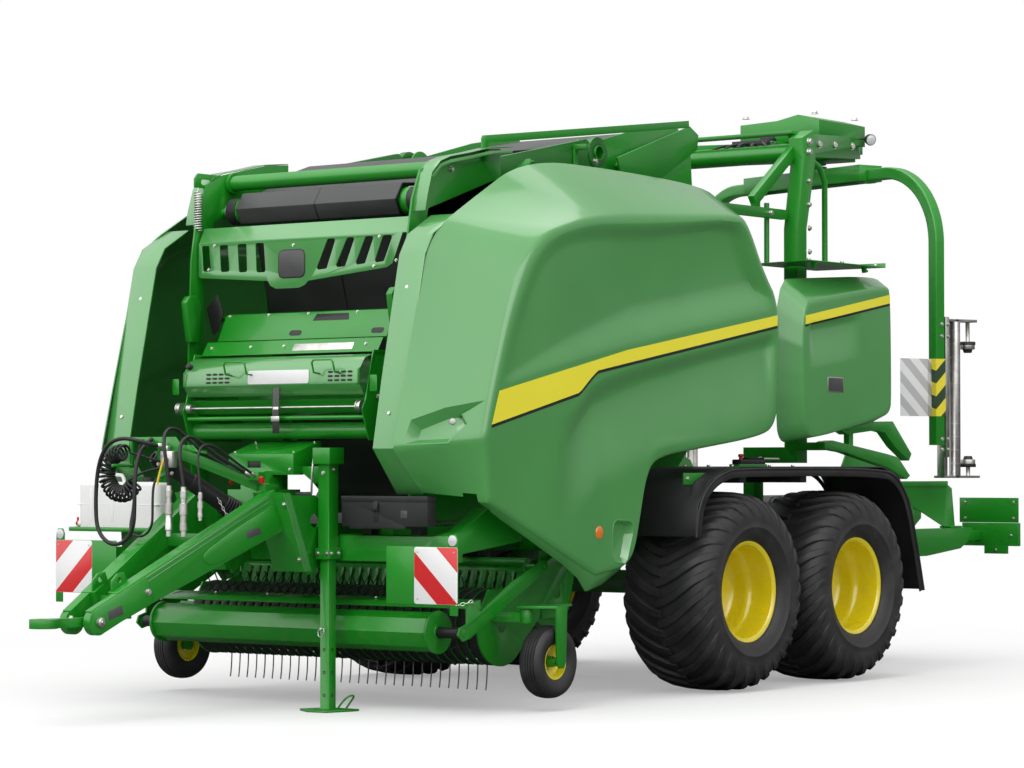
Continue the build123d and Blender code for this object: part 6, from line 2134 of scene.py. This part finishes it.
@dataclass
class WrapperFittings:
    """Film rollers' cones, marked arms, belts of the table, motor, lines and lamp of the wrapper."""

    centre: tuple = (-3.340, 0.0)
    parked: float = -18.9

    def arms(self, piece: Piece) -> Piece:
        """A piece modelled for one arm at zero turn, stood at both parked arms."""
        place = Matrix.Translation((*self.centre, 0)) @ Matrix.Rotation(math.radians(self.parked), 4, "Z")
        return copies(piece, [place, place @ Matrix.Rotation(math.pi, 4, "Z")])

    def build(self) -> None:
        """Models every small piece of the wrapper."""
        self.film_rollers()
        self.arm_markers()
        self.table()
        self.boom()
        self.boom_bolts()

    def film_rollers(self) -> None:
        """The film rolls' cones, the stretch rollers' ends and their rings."""
        cone = [(0, 0), (0, 0.050), (0.004, 0.0525), (0.020, 0.0525), (0.024, 0.046), (0.050, 0.034),
                (0.074, 0.026), (0.075, 0)]
        end = [(0, 0), (0, 0.030), (0.004, 0.034), (0.012, 0.034), (0.016, 0.028), (0.017, 0)]
        pieces = [turned(cone, (-0.290, 1.290, z), (0, 0, way), 32) for z, way in ((1.334, 1), (2.171, -1))]
        pieces += [turned(end, (-0.165, 1.300, z), (0, 0, way), 24) for z, way in ((1.262, 1), (2.318, -1))]
        settle(self.arms(join(pieces)), "film_cones", BLACK_PLASTIC, Body.ROTOR)
        rings = [turned([(-0.002, 0.0375), (0.0, 0.0392), (0.002, 0.0375)], (-0.165, 1.300, 1.36 + 0.088 * i),
                        UP, 28) for i in range(11)]
        settle(self.arms(join(rings)), "film_roller_rings", ZINC, Body.ROTOR)

    def arm_markers(self) -> None:
        """The clear striped sheet, the slanting bands and the screws of each arm."""
        low, high = 1.67, 2.05
        sheet = plate([(0.044, low), (0.313, low), (0.313, high), (0.044, high)], Plane.SIDE, 1.306, 1.3095,
                      0.001)
        settle(self.arms(sheet), "arm_marker_sheets", SHEET_STRIPES, Body.ROTOR)
        faces = [bar((x0, y0, low), (x1, y1, high), 0)
                 for x0, x1, y0, y1 in ((-0.0412, 0.0412, 1.3502, 1.3514), (0.0402, 0.0414, 1.269, 1.351),
                                        (-0.0414, -0.0402, 1.269, 1.351), (-0.0412, 0.0412, 1.2686, 1.2698))]
        settle(self.arms(join(faces)), "arm_marker_bands", ARM_STRIPES, Body.ROTOR)
        spots = [toward((x, 1.3515, z), LEFT) for z in (1.45, 1.52, 2.20, 2.28) for x in (-0.065, -0.010)]
        settle(self.arms(copies(screw_head(0.020), spots)), "arm_screws", ZINC, Body.ROTOR)

    def table(self) -> None:
        """Belts round the table's two rollers."""
        front, back, height, radius = -2.900, -3.780, 1.055, 0.0765
        loop = []
        for x, start in ((front, 90), (back, -90)):
            for i in range(13):
                angle = math.radians(start - 180 * i / 12)
                loop.append((x + radius * math.cos(angle), height + radius * math.sin(angle)))
        belts = [self.loop_belt(loop, 0.004, y - 0.10, y + 0.10) for y in (-0.39, -0.13, 0.13, 0.39)]
        group("table_belts", TABLE_BELT, *belts, body=Body.TABLE)
        spots = [(back, height), (front, height), (-3.55, 1.03), (-3.12, 1.03)]
        screws("table_bolts", 0.030, on_both_sides(((x, 0.576, z), LEFT) for x, z in spots), Body.TABLE)

    def loop_belt(self, loop: Sequence[Point2], thick: float, low: float, high: float) -> Piece:
        """One endless belt, as a closed wall outside a loop that runs forward along its top."""
        points = []
        for i, (x, z) in enumerate(loop):
            before, after = loop[i - 1], loop[(i + 1) % len(loop)]
            run = Vector((after[0] - before[0], after[1] - before[1])).normalized() * thick
            out_x, out_z = x - run.y, z + run.x
            points += [(x, low, z), (x, high, z), (out_x, high, out_z), (out_x, low, out_z)]
        return smooth(seal(built(points, quads(len(loop), 4, looped=True))), 40)

    def boom(self) -> None:
        """The motor on its carrier, the lines with their clamps, the lamp and the rails on the boom."""
        motor = turned([(0, 0), (0, 0.052), (0.006, 0.058), (0.030, 0.058), (0.034, 0.050), (0.110, 0.050),
                        (0.114, 0.054), (0.150, 0.054), (0.156, 0.046), (0.170, 0.040), (0.172, 0)],
                       (-2.790, 0.0, 3.430), UP, 32)
        group("rotor_motor", BLACK_PLASTIC,
              motor, bar((-2.835, -0.040, 3.560), (-2.745, 0.040, 3.585), 0.004))
        group("motor_carrier", FRAME_GREEN, bar((-3.190, -0.070, 3.545), (-2.740, 0.070, 3.557), 0.003),
              *[bar((-3.190, y - 0.004, 3.500), (-2.760, y + 0.004, 3.557), 0.002) for y in (-0.070, 0.070)])
        lines = []
        for k, y in enumerate((-0.075, -0.045, -0.015, 0.020, 0.055)):
            lift = 0.004 * (k % 3)
            lines.append(pipe([(-1.690, y * 3.2 + 0.52, 3.395), (-1.80, y * 2.6 + 0.46, 3.432 + lift),
                               (-2.02, y * 1.6 + 0.36, 3.455 + lift), (-2.30, y + 0.25, 3.470 - lift),
                               (-2.52, y + 0.16, 3.480 + lift), (-2.70, y + 0.06, 3.492),
                               (-2.752, y * 0.6, 3.500)], 0.0085, smoothness=5))
        group("boom_lines", HOSE_BLACK, *lines)
        group("line_clamps", BLACK_PLASTIC, bar((-2.045, 0.220, 3.440), (-2.005, 0.500, 3.482), 0.006),
              bar((-2.420, 0.090, 3.456), (-2.385, 0.320, 3.500), 0.006))
        group("boom_rungs", FRAME_GREEN, bar((-2.050, -0.800, 3.428), (-2.000, 0.800, 3.442), 0.003),
              bar((-2.425, -0.640, 3.446), (-2.380, 0.640, 3.458), 0.003))
        self.work_lamp()
        rails = [rail([(-1.37, 0.905, 2.606), (-1.37, 0.905, 3.00)], 0.017, 4),
                 rail([(-2.06, 0.905, 2.66), (-2.06, 0.905, 3.18), (-2.00, 0.905, 3.27),
                       (-1.90, 0.905, 3.31)], 0.019, 4)]
        group("top_rails", FRAME_GREEN, both(join(rails)))

    def work_lamp(self) -> None:
        """The lamp that lights the table."""
        place, way = Vector((-3.470, 0.386, 3.610)), Vector((0.55, 0.80, -0.25))
        lamp = turned([(0, 0), (0, 0.026), (0.010, 0.036), (0.040, 0.040), (0.046, 0.036), (0.047, 0)], place,
                      way, 24)
        group("work_lamp", BLACK_PLASTIC,
              lamp, rod((-3.450, 0.330, 3.612), (-3.468, 0.392, 3.612), 0.007, 12))
        lens = turned([(0, 0), (0, 0.034), (0.003, 0.030), (0.005, 0)], place + way.normalized() * 0.0465,
                      way, 24)
        group("work_lamp_lens", WHITE_LENS, lens)

    def boom_bolts(self) -> None:
        """Bolts where the boom meets the mast, along its beams and on the rotor's housing."""
        heads = [((-1.64, 1.0515, z), LEFT) for z in (3.335, 3.400)]
        for share in (0.12, 0.30, 0.55, 0.85):
            heads.append(((-1.76 - 1.80 * share, 0.904 - 0.64 * share, 3.41 + 0.16 * share),
                          (0.335, 0.942, 0)))
        heads += [((x, 0.28, 3.7455), UP) for x in (-3.46, -2.94)]
        screws("boom_bolts", 0.040, on_both_sides(heads))


@dataclass
class SmallFittings:
    """Screws and small pieces all over the frame."""

    cover_slope: float = 0.3190

    def build(self) -> None:
        """Places them side by side."""
        elbow = (-1.598, 1.200, 1.490)
        group("rear_crank", ZINC, rod(elbow, (-1.861, 1.200, 1.418), 0.010, 16),
              rod(elbow, (-1.598, 1.140, 1.490), 0.010, 16))
        walls = [(1.45, 1.50), (1.45, 2.80), (2.02, 1.30), (2.06, 1.80), (2.05, 2.30), (2.00, 2.62),
                 (1.93, 2.86), (1.70, 2.99)]
        heads = [((x, 0.981, 2.930), LEFT) for x in (-1.30, -0.70, -0.10, 0.50, 1.10)]
        heads += [((1.30, 0.931, 2.93), LEFT)]
        heads += [((x, 0.809, z), LEFT) for x, z in walls]
        heads += [((x, y, 2.607), UP) for x in (-1.90, -1.50, -1.11) for y in (0.94, 1.38)]
        heads += [((-1.64, 1.051, z), LEFT) for z in (2.70, 2.85, 3.00, 3.15)]
        heads += [((x, 0.7465, z), LEFT) for x, z in ((0.30, 3.0), (0.25, 3.15))]
        screws("frame_bolts", 0.028, on_both_sides(heads))
        screws("shelf_screws", 0.020, [((2.4303, y, 0.9905), UP) for y in (-1.37, -0.68)])
        lean = (0.303, 0, 0.953)
        cover = [((x, 0.218, 1.4802 - (x - 2.143) * self.cover_slope), lean) for x in (2.172, 2.345)]
        screws("gearbox_screws", 0.014, on_both_sides([*cover, ((2.3755, 0.214, 1.320), AHEAD)]))
        # a thin black strip on the gearbox face: painted shade of its notch
        group("gearbox_notch", BLACK_PRINT_AND_SHADE, bar((2.3690, -0.100, 1.328), (2.3712, 0.002, 1.368), 0.0005))


# ---------------------------------------------------------------- frames kept from the CAD

# edge rounding of each node, by finish and slot
SOFT_EDGED = {
    (FRAME_GREEN, "green_frame"): {
        "main_frame": 0.006, "drawbar": 0.006, "drawbar_brackets": 0.003, "hitch_eye": 0.006,
        "gearbox": 0.003, "jack_tube": 0.004, "jack_leg": 0.003, "front_frames": 0.002, "net_box": 0.002,
        "gate_frame": 0.002, "trays": 0.002, "feeder_frame": 0.002, "pickup_frame": 0.0015,
        "crop_press": 0.002, "crop_roller": 0.006, "gauge_fork_left": 0.003, "gauge_fork_right": 0.003,
        "mast": 0.008, "boom": 0.004, "wrap_arms": 0.003, "transfer_deck": 0.003, "wrap_table": 0.003,
        "rear_frame": 0.005, "film_cutters": 0.005, "warning_boards": 0.001,
    },
    # the parts below get the darker copy of the frame green, which is painted shade for parts under and
    # inside the machine
    (GREEN_PAINTED_SHADE, "green_frame"): {"axle_frame": 0.006, "chamber_walls": 0.002, "feed_rotor": 0.002},
    (GREEN_PAINTED_SHADE, "dark_steel"): {"pickup_reel": 0.002},
    (PANEL_GREEN_PAINTED_SHEEN, "green_panel"): {"grille_panel": 0.002, "net_lid": 0.002},
    (BELT_RUBBER, "belts"): {"front_belts": 0.003, "gate_belts": 0.003},
    (BLACK_PLASTIC, "black_plastic"): {"toolbox": 0.003, "table_rollers": 0.004},
    (FENDER_BLACK, "black_plastic"): {"fenders": 0.004},
    (TANK_WHITE, "white_plastic"): {"water_tank": 0.003},
    (STEEL, "bare_metal"): {"film_dispensers": 0.003},
}


def soften_frames() -> None:
    """Stands a copy with rounded edges in for each CAD node whose shape is already right."""
    owner = {node: body for body, nodes in frame["record"]["behaviour"]["bodies"].items() for node in nodes}
    for (finish, slot), edges in SOFT_EDGED.items():
        for node, edge in edges.items():
            settle(softened(node, edge), node + "_body", finish, owner[node], node)
    LOG.info("frames")


# ---------------------------------------------------------------- assembly


def main() -> None:
    """Builds every sub-assembly in order."""
    logging.basicConfig(level=logging.INFO, format="%(message)s")
    Studio().build()
    build_hoses()
    soften_frames()
    wheels = [RoadWheel(x, y, f"{row}_{side}") for row, x in (("front", -0.35), ("rear", -1.57))
              for side, y in (("left", 1.18), ("right", -1.18))]
    for part in (SideShields(), RearPanels(), *wheels, GaugeWheel(1.370, "left"), GaugeWheel(-1.370, "right"),
                 BeltFront(), NetBoxFittings(), DrawbarFittings(), JackFittings(), TankAndToolbox(),
                 MarkerBoards(), PickupTines(), FenderFittings(), WrapperFittings(), SmallFittings()):
        part.build()
        LOG.info("built %s", type(part).__name__)
    clear_selection()


if __name__ == "__main__":
    main()
